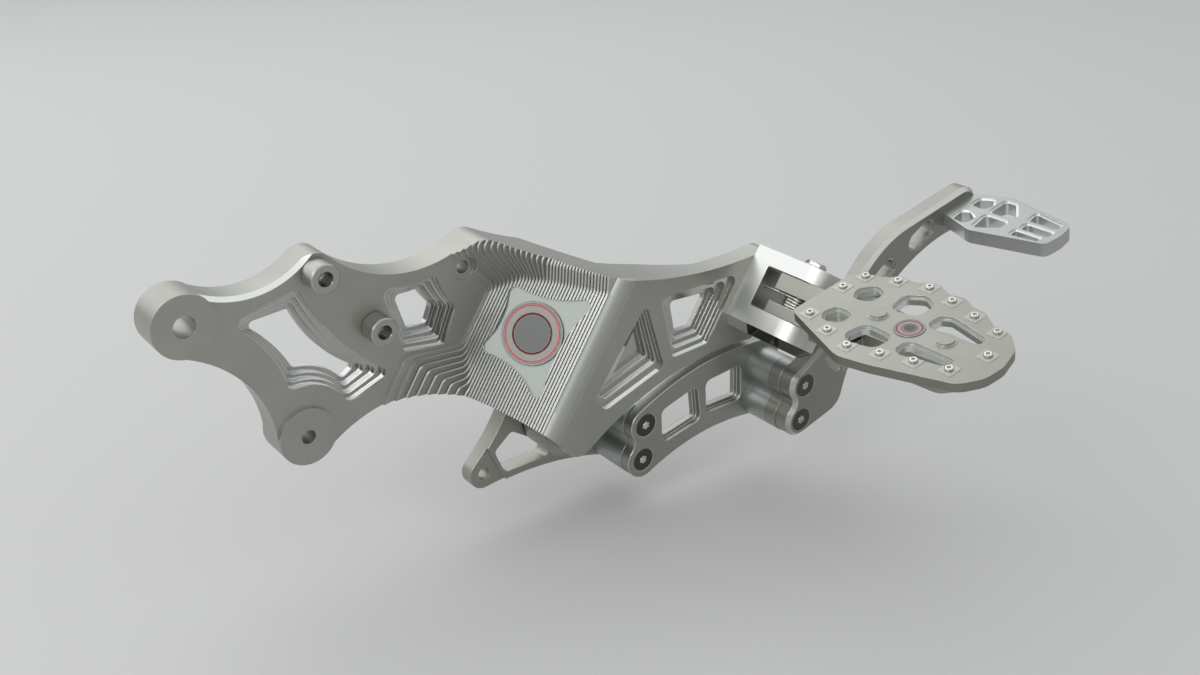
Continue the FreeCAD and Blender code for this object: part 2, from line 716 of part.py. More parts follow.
def main_bracket():
    """The bracket, milled from one billet."""
    body = bracket_blank().cut(panel_void())
    body = body.cut([bar_crown(), top_edge_chamfer()])
    additions = [
        clevis(),
        bar((0, 0), MAIN_BOSS_R, 0, BOSS_LENGTH),
        bar((LOWER_BOSS_X, LOWER_BOSS_Z), LOWER_BOSS_R, 0, BOSS_LENGTH),
        bar(PIVOT, PIVOT_BOSS_R, RIGHT_BACK, PIVOT_BOSS_BACK),
    ]
    body = body.fuse(additions)
    cutters = left_windows() + [
        right_window(),
        right_pocket(),
        star_pad(),
        clevis_gap(),
        nut_pocket(),
        bar(PIVOT, HUB_RELIEF_R, PIVOT_BOSS_BACK, LEFT_BACK + 1),
        bar(PIVOT, PIVOT_THREAD_R + THREAD_CLEAR, PIVOT_BOSS_BACK - PIVOT_THREAD_DEPTH - 1, PIVOT_BOSS_BACK),
        bar((0, 0), MAIN_BOLT_R, -1, BOSS_LENGTH + 1),
        bar((LOWER_BOSS_X, LOWER_BOSS_Z), LOWER_BOLT_R, -1, BOSS_LENGTH + 1),
        bar((SIDE_HOLE_X, SIDE_HOLE_Z), SIDE_HOLE_R, RIGHT_FRONT, LEFT_BACK + 1),
        bar((SIDE_HOLE_X, SIDE_HOLE_Z), SPOT_FACE_R, RIGHT_FRONT, LEFT_FRONT + SPOT_FACE_SINK),
        Part.makeCylinder(HINGE_R + RUNNING, FAR, V(HINGE_X, HINGE_Y, CLEVIS_BOTTOM - 5), AXIS_Z),
        Part.makeCylinder(WIRE_R + SCREW_CLEAR, 8, V(SPRING_LEG_X, CLEVIS_WEB_FRONT - 1, spring_middle()),
                          AXIS_Y),
    ]
    for centre in STANDOFFS.values():
        cutters.append(bar(centre, SPIGOT_R + SEAT_CLEAR, LEFT_FRONT - 1, LEFT_FRONT + SPIGOT_LENGTH + 0.5))
    return body.cut(cutters).removeSplitter()


def standoff(centre):
    """Turned standoff seated on the left plate, its spigot in the plate."""
    front = LEFT_FRONT - STANDOFF_LENGTH
    body = bar(centre, STANDOFF_R, front, LEFT_FRONT)
    rims = [e for e in body.Edges if len(e.Vertexes) == 1]
    body = body.makeChamfer(0.7, rims)
    spigot = bar(centre, SPIGOT_R, LEFT_FRONT - 0.5, LEFT_FRONT + SPIGOT_LENGTH)
    bore = bar(centre, STANDOFF_BORE_R, front - 1, front + STANDOFF_BORE_DEPTH)
    return body.fuse(spigot).cut(bore).removeSplitter()


def bracket_badge():
    """Plain flat disc with a raised rim and one raised ring, stuck on the star pad."""
    rim_top = BADGE_T + 0.3
    profile = rounded([
        (0, 0, 0),
        (BADGE_R, 0, 0),
        (BADGE_R, rim_top, 0.3),
        (BADGE_R - BADGE_RIM, rim_top, 0.2),
        (BADGE_R - BADGE_RIM - 0.3, BADGE_T, 0),
        (BADGE_RING_R + 0.7, BADGE_T, 0),
        (BADGE_RING_R, rim_top, 0.2),
        (BADGE_RING_R - 0.7, BADGE_T, 0),
        (0, BADGE_T, 0),
    ])
    disc = Part.Face(profile).revolve(ORIGIN, AXIS_Z, 360)
    disc.rotate(ORIGIN, AXIS_X, 90)
    disc.translate(V(BADGE_S, PAD_SINK, BADGE_Z))
    return on_panel(disc)


# Hinge of the peg.

def hinge_bolt():
    """Hexagon bolt down through both ears."""
    head_z = CLEVIS_TOP + WASHER_T
    head = hexagon(HINGE_HEAD_AF, HINGE_HEAD_H)
    cap = Part.makeCone(HINGE_HEAD_AF * 0.7, HINGE_HEAD_AF * 0.44, HINGE_HEAD_H * 1.1)
    head = head.common(cap)
    head.translate(V(HINGE_X, HINGE_Y, head_z))
    bottom = CLEVIS_BOTTOM
    shank = Part.makeCylinder(HINGE_R, head_z + 1 - bottom, V(HINGE_X, HINGE_Y, bottom), AXIS_Z)
    return head.fuse(shank)


def hinge_washer():
    """Washer under the head of the hinge bolt."""
    ring = Part.makeCylinder(WASHER_R, WASHER_T, V(HINGE_X, HINGE_Y, CLEVIS_TOP), AXIS_Z)
    return ring.cut(Part.makeCylinder(HINGE_R + SCREW_CLEAR, FAR, V(HINGE_X, HINGE_Y, 0), AXIS_Z))


def hinge_nut():
    """Locknut in its pocket under the lower ear."""
    nut = hexagon(HINGE_HEAD_AF, HINGE_NUT_H)
    nut.translate(V(HINGE_X, HINGE_Y, CLEVIS_BOTTOM + NUT_POCKET_DEPTH - HINGE_NUT_H))
    return nut.cut(Part.makeCylinder(HINGE_R + THREAD_CLEAR, FAR, V(HINGE_X, HINGE_Y, 0), AXIS_Z))


def lug_levels():
    """Lower and upper faces of the two lugs between the ears."""
    low = GAP_BOTTOM + LUG_CLEAR
    high = GAP_TOP - LUG_CLEAR
    return low, low + LOWER_LUG_T, high - UPPER_LUG_T, high


def spring_middle():
    """Height at which the spring's leg leaves the coil."""
    levels = lug_levels()
    return levels[2] - WIRE_R - 0.3


def torsion_spring():
    """Close-wound coil round the hinge bolt, one leg in the web, the other on the carrier."""
    levels = lug_levels()
    low = levels[1] + 0.3
    high = levels[2] - 0.3
    turns = round((high - low) / (2 * WIRE_R))
    pitch = (high - low) / turns
    inner = COIL_R - WIRE_R
    edges = [Part.makeLine(at(inner, high), at(inner, low))]
    edges.append(Part.makeLine(at(inner, low), at(COIL_R, low)))
    for k in range(turns):
        base = low + k * pitch
        middle = at(COIL_R + WIRE_R, base + pitch / 2)
        edges.append(Part.Arc(at(COIL_R, base), middle, at(COIL_R, base + pitch)).toShape())
    edges.append(Part.makeLine(at(COIL_R, high), at(inner, high)))
    coil = Part.Face(Part.Wire(edges)).revolve(ORIGIN, AXIS_Z, 360)
    coil.translate(V(HINGE_X, HINGE_Y, 0))
    leg_start = V(SPRING_LEG_X, HINGE_Y, spring_middle())
    leg = Part.makeCylinder(WIRE_R, CLEVIS_WEB_FRONT + 5 - HINGE_Y, leg_start, AXIS_Y)
    tail_start = V(HINGE_X + COIL_R, HINGE_Y, low + WIRE_R)
    tail_length = HINGE_Y - (CARRIER_ROOT_Y + SIDE_CLEAR)
    tail = Part.makeCylinder(WIRE_R, tail_length, tail_start, V(0, -1, 0))
    return coil.fuse([leg, tail]).removeSplitter()


# Pedal.

def pivot_bolt():
    """Shoulder bolt screwed into the bracket from behind; the pedal turns on its shoulder."""
    under_head = ARM_BACK + SIDE_CLEAR + THRUST_T
    shoulder = bar(PIVOT, PIVOT_R, PIVOT_BOSS_BACK, under_head)
    thread = bar(PIVOT, PIVOT_THREAD_R, PIVOT_BOSS_BACK - PIVOT_THREAD_DEPTH, PIVOT_BOSS_BACK + 1)
    head = bar(PIVOT, PIVOT_HEAD_R, under_head, under_head + PIVOT_HEAD_H)
    socket = hexagon(8, PIVOT_HEAD_H)
    socket.rotate(ORIGIN, AXIS_X, -90)
    socket.translate(V(PIVOT_X, under_head + PIVOT_HEAD_H - 4, PIVOT_Z))
    return shoulder.fuse([thread, head]).cut(socket).removeSplitter()


def thrust_washer(front):
    """Washer on the shoulder of the pivot bolt."""
    return bar(PIVOT, THRUST_R, front, front + THRUST_T).cut(bar(PIVOT, PIVOT_R + SEAT_CLEAR, front - 1, 0))


def pivot_bush(front, back):
    """Bronze bush pressed into the rear arm."""
    bush = bar(PIVOT, PIVOT_BUSH_R - SEAT_CLEAR, front, back)
    return bush.cut(bar(PIVOT, PIVOT_R + RUNNING, front - 1, back + 1))


def rear_arm():
    """Rear arm: hub on the pivot, tab for the push rod, tapped ends for the link screws."""
    outline = lobed([
        (TAB_HOLE_X, TAB_HOLE_Z, TAB_R, ARM_BELLY_R),
        (*W_LOWER, SPACER_R, 0),
        (*W_UPPER, SPACER_R, 70),
        (PIVOT_X + 2, PIVOT_Z + 2, HUB_R, 0),
        HUB_CORNER,
    ])
    start, end = [at(*point) for point in TAB_STEP_LINE]
    along = (end - start).normalize() * 40
    across = V(along.z, 0, -along.x)
    corners = [start - along, end + along, end + along + across, start - along + across]
    step = plate(Part.makePolygon(corners + corners[:1]), ARM_FRONT - 1, ARM_FRONT + TAB_STEP)
    arm = plate(outline, ARM_FRONT, ARM_BACK)
    return arm.cut([
        plate(rounded(ARM_WINDOW), ARM_FRONT - 1, ARM_BACK + 1),
        step,
        bar((TAB_HOLE_X, TAB_HOLE_Z), TAB_HOLE_R, ARM_FRONT - 1, ARM_BACK + 1),
        bar(PIVOT, PIVOT_BUSH_R, ARM_FRONT - 1, ARM_BACK + 1),
        bar(W_UPPER, SCREW_R + THREAD_CLEAR, ARM_FRONT - 1, ARM_BACK + 1),
        bar(W_LOWER, SCREW_R + THREAD_CLEAR, ARM_FRONT - 1, ARM_BACK + 1),
    ])


def waist_groove():
    """Radius of the grooves that leave two lobes of a spacer with the given waist."""
    gap = SPACER_R - SPACER_WAIST
    return ((SCREW_PITCH / 2) ** 2 + SPACER_WAIST ** 2 - SPACER_R ** 2) / (2 * gap)


def spacer(first, second, front, back):
    """Two-lobed spacer with a groove down each side, bored for two screws."""
    groove = waist_groove()
    body = plate(lobed([(*second, SPACER_R, groove), (*first, SPACER_R, groove)]), front, back)
    return body.cut([bar(first, SPACER_HOLE_R, front - 1, back + 1),
                     bar(second, SPACER_HOLE_R, front - 1, back + 1)])


def beside(pair, corners):
    """Corners measured from the middle of a screw pair, in the bracket's axes."""
    return [(pair[0] + x, pair[1] + z, radius) for x, z, radius in corners]


def link_plate():
    """Windowed plate from the rear spacer to the front spacer, clear of the bracket's edge."""
    outline = lobed([
        (*W_LOWER, LINK_END_R, 150),
        (*B_LOWER, LINK_END_R, 9),
        (*B_UPPER, LINK_HEAD_R, -190),
        (*W_UPPER, LINK_TAIL_R, 9),
    ])
    body = plate(outline, RIGHT_FRONT, LINK_BACK)
    edge_centre = side_centre(TIP_LOBE[:2], HEEL_LOBE[:2], PEDAL_SCALLOP_R + TIP_R,
                              PEDAL_SCALLOP_R + HEEL_R, True)
    body = body.common(bar(edge_centre, PEDAL_SCALLOP_R - LINK_GAP, RIGHT_FRONT - 1, LINK_BACK + 1))
    windows = [beside(REAR_PAIR, LINK_REAR_WINDOW), beside(FRONT_PAIR, LINK_FRONT_WINDOW)]
    for window in windows:
        through = grown(window, -LINK_LEDGE)
        body = body.cut(plate(rounded(window), RIGHT_FRONT - 1, RIGHT_FRONT + LINK_T / 2))
        body = body.cut(plate(rounded(through), RIGHT_FRONT, LINK_BACK + 1))
    return body.cut([
        countersink(W_UPPER, RIGHT_FRONT),
        countersink(W_LOWER, RIGHT_FRONT),
        bar(B_UPPER, SCREW_R + THREAD_CLEAR, RIGHT_FRONT - 1, LINK_BACK + 1),
        bar(B_LOWER, SCREW_R + THREAD_CLEAR, RIGHT_FRONT - 1, LINK_BACK + 1),
    ])


def screws(centres, front, back):
    """Countersunk screws from the front of a plate to a tapped plate's back."""
    found = []
    for x, z in centres:
        screw = countersunk_screw(back - front)
        screw.translate(V(x, front, z))
        found.append(screw)
    return Part.makeCompound(found)


def pedal_arm():
    """Pedal arm, rising from the front spacer to the toe pad, with two slots."""
    outline = lobed([
        (*B_LOWER, ARM_SCREW_R, 0),
        ARM_ELBOW,
        ARM_TIP,
        ARM_SHIN,
        (*B_UPPER, ARM_SCREW_R, 6),
    ])
    body = plate(outline, PEDAL_FRONT, PEDAL_BACK)
    top_front = [e for e in body.Edges
                 if abs(e.BoundBox.YMax - PEDAL_FRONT) < 1e-6 and e.CenterOfMass.z > ARM_SHIN[1]
                 and e.CenterOfMass.x < ARM_TIP[0]]
    body = body.makeChamfer(ARM_CHAMFER, top_front)
    for low, high in SLOTS:
        for radius, back in ((SLOT_R, PEDAL_BACK + 1), (SLOT_R + SLOT_RIM, PEDAL_FRONT + SLOT_RIM)):
            slot = lobed([(*low, radius, 0), (*high, radius, 0)])
            body = body.cut(plate(slot, PEDAL_FRONT - 1, back))
    cutters = [countersink(B_UPPER, PEDAL_FRONT), countersink(B_LOWER, PEDAL_FRONT)]
    for place in pad_screw_places():
        cutters.append(bar(place, PAD_SCREW_R + SCREW_CLEAR, PEDAL_FRONT - 1, PEDAL_BACK + 1))
    return body.cut(cutters)


def pad_screw_places():
    """Centres of the toe pad's screws in the bracket's axes, half way down the pad."""
    tilt = math.radians(TREAD_TILT)
    height = PAD_H - PAD_T / 2
    return [(u * math.cos(tilt) - height * math.sin(tilt), u * math.sin(tilt) + height * math.cos(tilt))
            for u in PAD_SCREW_U]


def toe_pad():
    """Toe pad with pockets, square on the pedal arm's side."""
    root = -PEDAL_FRONT
    outline = rounded([(PAD_LEFT_U, root, 0)] + PAD_OUTLINE + [(PAD_RIGHT_U, root, 0)])
    body = plate(outline, -PAD_T, 0)
    for corners in PAD_POCKETS:
        body = body.cut(plate(rounded(grown(corners, PAD_RECESS_WIDTH)), -PAD_RECESS, 1))
        body = body.cut(plate(rounded(corners), -PAD_T - 1, 0))
    body = lean(body, PAD_H)
    holes = [bar(place, PAD_SCREW_R + THREAD_CLEAR, PEDAL_FRONT - PAD_SCREW_DEPTH, PEDAL_FRONT + 1)
             for place in pad_screw_places()]
    return body.cut(holes)


def toe_pad_screws():
    """Two socket screws from behind the pedal arm into the toe pad."""
    found = []
    for x, z in pad_screw_places():
        head = bar((x, z), PAD_SCREW_HEAD_R, PEDAL_BACK, PEDAL_BACK + 4)
        shank = bar((x, z), PAD_SCREW_R, PEDAL_FRONT - PAD_SCREW_DEPTH + 0.5, PEDAL_BACK + 1)
        socket = hexagon(4, 4)
        socket.rotate(ORIGIN, AXIS_X, -90)
        socket.translate(V(x, PEDAL_BACK + 1.5, z))
        found.append(head.fuse(shank).cut(socket))
    return Part.makeCompound(found)


# Peg.

def square(u, b, half):
    return rounded([(u - half, b - half, 1), (u - half, b + half, 1), (u + half, b + half, 1), (u + half, b - half, 1)])


def tread_plate():
    """Tread plate: windows with a ledge, square pads for the studs and two raised discs."""
    body = plate(rounded(TREAD_OUTLINE), -TREAD_T, 0)
    raised = [plate(square(u, b, STUD_PAD / 2), -1, STUD_PAD_H) for u, b in STUD_PLACES]
    for place in DISC_PLACES:
        raised.append(bar(place, DISC_STEP_R, -1, DISC_STEP_H))
        raised.append(bar(place, DISC_R, -1, DISC_H))
    full = plate(rounded(TREAD_OUTLINE), -TREAD_T, DISC_H)
    body = body.fuse([part.common(full) for part in raised])
    cutters = []
    for corners in TREAD_WINDOWS:
        cutters.append(plate(rounded(corners), -TREAD_LEDGE_DEPTH, 1))
        cutters.append(plate(rounded(grown(corners, -TREAD_LEDGE)), -TREAD_T - 1, 0))
    for place in STUD_PLACES:
        cutters.append(bar(place, STUD_R + SEAT_CLEAR, -TREAD_T - 1, 2))
    for place in DISC_PLACES:
        cutters.append(bar(place, TREAD_SCREW_R + THREAD_CLEAR, -TREAD_T - 1, TREAD_SCREW_END + 0.2))
    cutters.append(bar(TREAD_BADGE_PLACE, TREAD_BADGE_R + SEAT_CLEAR, -0.5, 2))
    return lean(body.cut(cutters).removeSplitter(), TREAD_H)


def tread_studs():
    """Stainless studs screwed into the pads, each with a socket."""
    top_height = STUD_PAD_H + STUD_PROUD
    found = []
    for place in STUD_PLACES:
        stud = bar(place, STUD_R, -TREAD_T, top_height)
        top = [e for e in stud.Edges if len(e.Vertexes) == 1 and e.CenterOfMass.y > 0]
        stud = stud.makeChamfer(STUD_CHAMFER, top)
        found.append(stud.cut(bar(place, STUD_SOCKET_R, top_height - STUD_SOCKET_DEPTH, top_height + 1)))
    return lean(Part.makeCompound(found), TREAD_H)


def tread_badge():
    """Small plain disc in its seat on the tread."""
    disc = bar(TREAD_BADGE_PLACE, TREAD_BADGE_R, -0.5, TREAD_BADGE_T - 0.5)
    top = [e for e in disc.Edges if len(e.Vertexes) == 1 and e.CenterOfMass.y > 0]
    return lean(disc.makeChamfer(0.25, top), TREAD_H)


def beam():
    """Beam of the carrier under the tread, narrowing to a rounded end."""
    root = -CARRIER_ROOT_Y
    shoulder = BEAM_END - BEAM_NOSE
    outline = rounded([
        (BEAM_LEFT_U, root, 0),
        (BEAM_LEFT_U + BEAM_TAPER, shoulder, BEAM_NOSE),
        (BEAM_MIDDLE_U, BEAM_END, BEAM_NOSE),
        (BEAM_RIGHT_U - 2 * BEAM_TAPER, shoulder, BEAM_NOSE),
        (BEAM_RIGHT_U, root, 0),
    ])
    return plate(outline, -BEAM_DEPTH, -TREAD_T)


def peg_carrier():
    """Carrier: two lugs on the hinge bolt and a beam under the tread."""
    low, low_top, high_bottom, high = lug_levels()
    edge_x = HINGE_X - LUG_HALF
    outboard = -TREAD_EDGE - ROOT_LENGTH
    root = Part.makeBox(2 * LUG_HALF, CARRIER_ROOT_Y - outboard, high - low, V(edge_x, outboard, low))
    lug_length = HINGE_Y + LUG_INBOARD - CARRIER_ROOT_Y + 1
    lugs = []
    for base, top in ((low, low_top), (high_bottom, high)):
        lugs.append(Part.makeBox(2 * LUG_HALF, lug_length, top - base, V(edge_x, CARRIER_ROOT_Y - 1, base)))
    near_ears = Part.makeBox(FAR, FAR, FAR, V(0, -TREAD_EDGE, 0))
    under = lean(beam(), TREAD_H).cut(near_ears)
    ear_base = V(CARRIER_EAR[0], -TREAD_T - CARRIER_EAR_SIZE[1] - 4, CARRIER_EAR[1])
    ear = lean(Part.makeBox(*CARRIER_EAR_SIZE, ear_base), TREAD_H)
    body = root.fuse(lugs + [under, ear])
    above = lean(Part.makeBox(FAR, FAR, FAR, V(FAR / 2, -TREAD_T, FAR / 4)), TREAD_H)
    body = body.cut(above)
    cutters = [Part.makeCylinder(LUG_BUSH_R, FAR, V(HINGE_X, HINGE_Y, 0), AXIS_Z)]
    for place in DISC_PLACES:
        hole = bar(place, TREAD_SCREW_R + SCREW_CLEAR, -FAR / 4, 0)
        head = bar(place, TREAD_SCREW_HEAD_R + SIDE_CLEAR, -FAR / 4, TREAD_SCREW_SEAT)
        cutters.append(lean(hole.fuse(head), TREAD_H))
    bolt = Part.makeCylinder(CARRIER_BOLT_R + THREAD_CLEAR, CARRIER_BOLT_LENGTH + 1,
                             V(CARRIER_EAR[0] - 1, CARRIER_BOLT_H, CARRIER_BOLT_B), AXIS_X)
    cutters.append(lean(bolt, TREAD_H))
    return body.cut(cutters).removeSplitter()


def lug_bush(low, high):
    """Bronze bush pressed into a lug."""
    base = V(HINGE_X, HINGE_Y, low)
    bush = Part.makeCylinder(LUG_BUSH_R - SEAT_CLEAR, high - low, base, AXIS_Z)
    return bush.cut(Part.makeCylinder(HINGE_R + RUNNING, FAR, V(HINGE_X, HINGE_Y, 0), AXIS_Z))


def tread_screws():
    """Screws from below the beam into the raised discs of the tread."""
    found = []
    for place in DISC_PLACES:
        shank = bar(place, TREAD_SCREW_R, TREAD_SCREW_SEAT - 1, TREAD_SCREW_END)
        head = bar(place, TREAD_SCREW_HEAD_R, TREAD_SCREW_SEAT - TREAD_SCREW_HEAD_H, TREAD_SCREW_SEAT)
        socket = hexagon(4, 3)
        socket.rotate(ORIGIN, AXIS_X, -90)
        socket.translate(V(place[0], TREAD_SCREW_SEAT - TREAD_SCREW_HEAD_H - 1, place[1]))
        found.append(shank.fuse(head).cut(socket))
    return lean(Part.makeCompound(found), TREAD_H)


def carrier_bolt():
    """Hexagon bolt in the carrier's rear ear, below the tread's rear edge."""
    head = hexagon(CARRIER_BOLT_AF, CARRIER_BOLT_HEAD_H)
    head.rotate(ORIGIN, AXIS_Y, 90)
    head.translate(V(CARRIER_EAR[0] - CARRIER_BOLT_HEAD_H, CARRIER_BOLT_H, CARRIER_BOLT_B))
    shank = Part.makeCylinder(CARRIER_BOLT_R, CARRIER_BOLT_LENGTH,
                              V(CARRIER_EAR[0] - 0.5, CARRIER_BOLT_H, CARRIER_BOLT_B), AXIS_X)
    return lean(head.fuse(shank), TREAD_H)


def save(name, shape):
    """Turn a piece to the angle at which it is fitted and write it."""
    shape.rotate(ORIGIN, AXIS_Y, FITTED_TILT)
    shape.exportStep("parts/%s.step" % name)


os.makedirs("parts", exist_ok=True)
LUG_LEVELS = lug_levels()
PIECES = {
    "main_bracket": main_bracket(),
    "bracket_badge": bracket_badge(),
    "hinge_bolt": hinge_bolt(),
    "hinge_washer": hinge_washer(),
    "hinge_nut": hinge_nut(),
    "torsion_spring": torsion_spring(),
    "pivot_bolt": pivot_bolt(),
    "thrust_washer_front": thrust_washer(PIVOT_BOSS_BACK),
    "thrust_washer_rear": thrust_washer(ARM_BACK + SIDE_CLEAR),
    "pivot_bush_front": pivot_bush(ARM_FRONT, ARM_FRONT + ARM_T / 2 - SIDE_CLEAR / 2),
    "pivot_bush_rear": pivot_bush(ARM_BACK - ARM_T / 2 + SIDE_CLEAR / 2, ARM_BACK),
    "rear_arm": rear_arm(),
    "rear_spacer": spacer(W_UPPER, W_LOWER, LINK_BACK, ARM_FRONT),
    "link_plate": link_plate(),
    "link_screws": screws((W_UPPER, W_LOWER), RIGHT_FRONT, ARM_BACK),
    "front_spacer": spacer(B_UPPER, B_LOWER, PEDAL_BACK, RIGHT_FRONT),
    "pedal_arm": pedal_arm(),
    "pedal_screws": screws((B_UPPER, B_LOWER), PEDAL_FRONT, LINK_BACK),
    "toe_pad": toe_pad(),
    "toe_pad_screws": toe_pad_screws(),
    "peg_carrier": peg_carrier(),
    "lug_bush_lower": lug_bush(LUG_LEVELS[0], LUG_LEVELS[1]),
    "lug_bush_upper": lug_bush(LUG_LEVELS[2], LUG_LEVELS[3]),
    "tread_plate": tread_plate(),
    "tread_studs": tread_studs(),
    "tread_screws": tread_screws(),
    "tread_badge": tread_badge(),
    "carrier_bolt": carrier_bolt(),
}
for standoff_name, standoff_centre in STANDOFFS.items():
    PIECES[standoff_name] = standoff(standoff_centre)
for piece_name, piece_shape in PIECES.items():
    save(piece_name, piece_shape)
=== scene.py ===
import math

import bpy
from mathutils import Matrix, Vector


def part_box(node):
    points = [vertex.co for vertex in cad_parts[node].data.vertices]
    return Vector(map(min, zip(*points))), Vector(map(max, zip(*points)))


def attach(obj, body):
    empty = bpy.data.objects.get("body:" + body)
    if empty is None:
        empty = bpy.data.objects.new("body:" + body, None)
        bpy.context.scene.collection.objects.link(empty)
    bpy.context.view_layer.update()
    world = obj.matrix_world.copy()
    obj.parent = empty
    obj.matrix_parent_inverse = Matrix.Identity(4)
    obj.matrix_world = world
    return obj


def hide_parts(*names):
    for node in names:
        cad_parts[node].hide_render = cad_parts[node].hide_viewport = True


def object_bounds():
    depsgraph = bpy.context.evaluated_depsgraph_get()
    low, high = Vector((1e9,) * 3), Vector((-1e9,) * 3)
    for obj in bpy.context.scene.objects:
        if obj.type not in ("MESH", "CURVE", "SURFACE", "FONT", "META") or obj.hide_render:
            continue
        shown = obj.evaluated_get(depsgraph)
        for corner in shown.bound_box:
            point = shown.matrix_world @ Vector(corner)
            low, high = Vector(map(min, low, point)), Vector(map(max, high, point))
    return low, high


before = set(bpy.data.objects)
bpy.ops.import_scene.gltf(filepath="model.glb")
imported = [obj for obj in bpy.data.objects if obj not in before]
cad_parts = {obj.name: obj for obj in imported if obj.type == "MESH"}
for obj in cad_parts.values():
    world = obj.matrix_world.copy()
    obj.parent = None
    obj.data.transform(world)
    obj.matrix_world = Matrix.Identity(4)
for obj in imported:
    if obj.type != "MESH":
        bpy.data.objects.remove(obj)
cad_low, cad_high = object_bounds()

# The main bracket is milled from one aluminium billet, blasted and clear anodised, and bolted to
# the motorcycle through its two bosses. The ledges of its windows are cut bright afterwards, its
# clevis is satin, and every broken edge is painted bright, partly as wear and partly as a painted
# highlight.
MM_PER_METRE = 1000
FITTED_TILT = math.radians(32.5)
EDGE_WEAR_AND_SHINE = (0.78, 0.78, 0.75)


def as_fitted(x, y, z):
    """A place in the bracket's own axes, in millimetres, as it is fitted, in metres."""
    c, s = math.cos(FITTED_TILT), math.sin(FITTED_TILT)
    return Vector([part / MM_PER_METRE for part in (x * c + z * s, y, z * c - x * s)])


def join(tree, source, target):
    tree.links.new(source, target)


def arithmetic(tree, operation, first, second=None, third=None, clamp=False):
    node = tree.nodes.new("ShaderNodeMath")
    node.operation = operation
    node.use_clamp = clamp
    for socket, value in zip(node.inputs, (first, second, third)):
        if value is None:
            continue
        if isinstance(value, (int, float)):
            socket.default_value = value
        else:
            join(tree, value, socket)
    return node.outputs[0]


def between(tree, value, low, high, soft=0.3):
    """1 where a value lies between two limits, falling to 0 over a soft border."""
    rise = arithmetic(tree, "MULTIPLY_ADD", value, 1 / soft, -low / soft + 0.5, clamp=True)
    fall = arithmetic(tree, "MULTIPLY_ADD", value, -1 / soft, high / soft + 0.5, clamp=True)
    return arithmetic(tree, "MULTIPLY", rise, fall)


def within(tree, distance, reach, soft=0.3):
    return between(tree, distance, -1, reach, soft)


def all_of(tree, first, *others):
    for other in others:
        first = arithmetic(tree, "MULTIPLY", first, other)
    return first


def any_of(tree, first, *others):
    for other in others:
        first = arithmetic(tree, "MAXIMUM", first, other)
    return first


def without(tree, share, taken):
    return all_of(tree, share, arithmetic(tree, "SUBTRACT", 1.0, taken))


def distance_from(tree, first, second, centre, reaches=(1.0, 1.0)):
    """Distance of two coordinates from a centre, each divided by its reach."""
    squares = []
    for value, middle, reach in zip((first, second), centre, reaches):
        scaled = arithmetic(tree, "MULTIPLY_ADD", value, 1 / reach, -middle / reach)
        squares.append(arithmetic(tree, "MULTIPLY", scaled, scaled))
    return arithmetic(tree, "SQRT", arithmetic(tree, "ADD", *squares))


def along(tree, place, direction):
    """How far a place or a facing reaches along a direction in the bracket's own axes."""
    reach = 0.0
    for value, part in zip(place, direction):
        reach = arithmetic(tree, "MULTIPLY_ADD", value, part, reach)
    return reach


def ridges(tree, distance, pitch):
    """A wave from -1 to 1 with one crest in each pitch."""
    return arithmetic(tree, "SINE", arithmetic(tree, "MULTIPLY", distance, 2 * math.pi / pitch))


def mixed(tree, share, first, second):
    """Colours or numbers, the second one taking over by its share."""
    node = tree.nodes.new("ShaderNodeMix")
    kind = "RGBA" if isinstance(second, tuple) else "VALUE"
    node.data_type = "RGBA" if kind == "RGBA" else "FLOAT"
    join(tree, share, node.inputs["Factor"])
    for name, value in (("A", first), ("B", second)):
        socket = [s for s in node.inputs if s.name == name and s.type == kind][0]
        if isinstance(value, tuple):
            socket.default_value = (*value, 1)
        elif isinstance(value, (int, float)):
            socket.default_value = value
        else:
            join(tree, value, socket)
    return [s for s in node.outputs if s.type == kind][0]


def speckle(tree, coordinates, size):
    """Noise whose spots are about a size across, in metres."""
    node = tree.nodes.new("ShaderNodeTexNoise")
    node.inputs["Scale"].default_value = 1 / size
    node.inputs["Detail"].default_value = 3
    join(tree, coordinates, node.inputs["Vector"])
    return node.outputs["Fac"]


def own_axes(tree, vector, scale):
    """A vector turned back from the fitted tilt to the bracket's own x, y and z, and scaled."""
    turned = tree.nodes.new("ShaderNodeVectorRotate")
    turned.rotation_type = "Y_AXIS"
    turned.inputs["Angle"].default_value = -FITTED_TILT
    join(tree, vector, turned.inputs["Vector"])
    sized = tree.nodes.new("ShaderNodeVectorMath")
    sized.operation = "SCALE"
    sized.inputs["Scale"].default_value = scale
    join(tree, turned.outputs[0], sized.inputs[0])
    split = tree.nodes.new("ShaderNodeSeparateXYZ")
    join(tree, sized.outputs[0], split.inputs[0])
    return split.outputs[0], split.outputs[1], split.outputs[2]


# Blasting leaves a fine grain and faint patches on the metal. Its edges are painted bright, partly
# as handling wear and partly as a painted highlight. A cutter takes most of the grain away.
PATCH_SIZE = 0.03
PATCH_CONTRAST = 0.10
GRAIN_ROUGHENS = 0.16
GRAIN_CUT_AWAY = 0.8
EDGE_RAMP = (-9.0, 8.9)
EDGE_WEAR_AND_HIGHLIGHT = 0.6
EDGE_GLOSS = 0.12
GRAIN_STRENGTH = 0.6


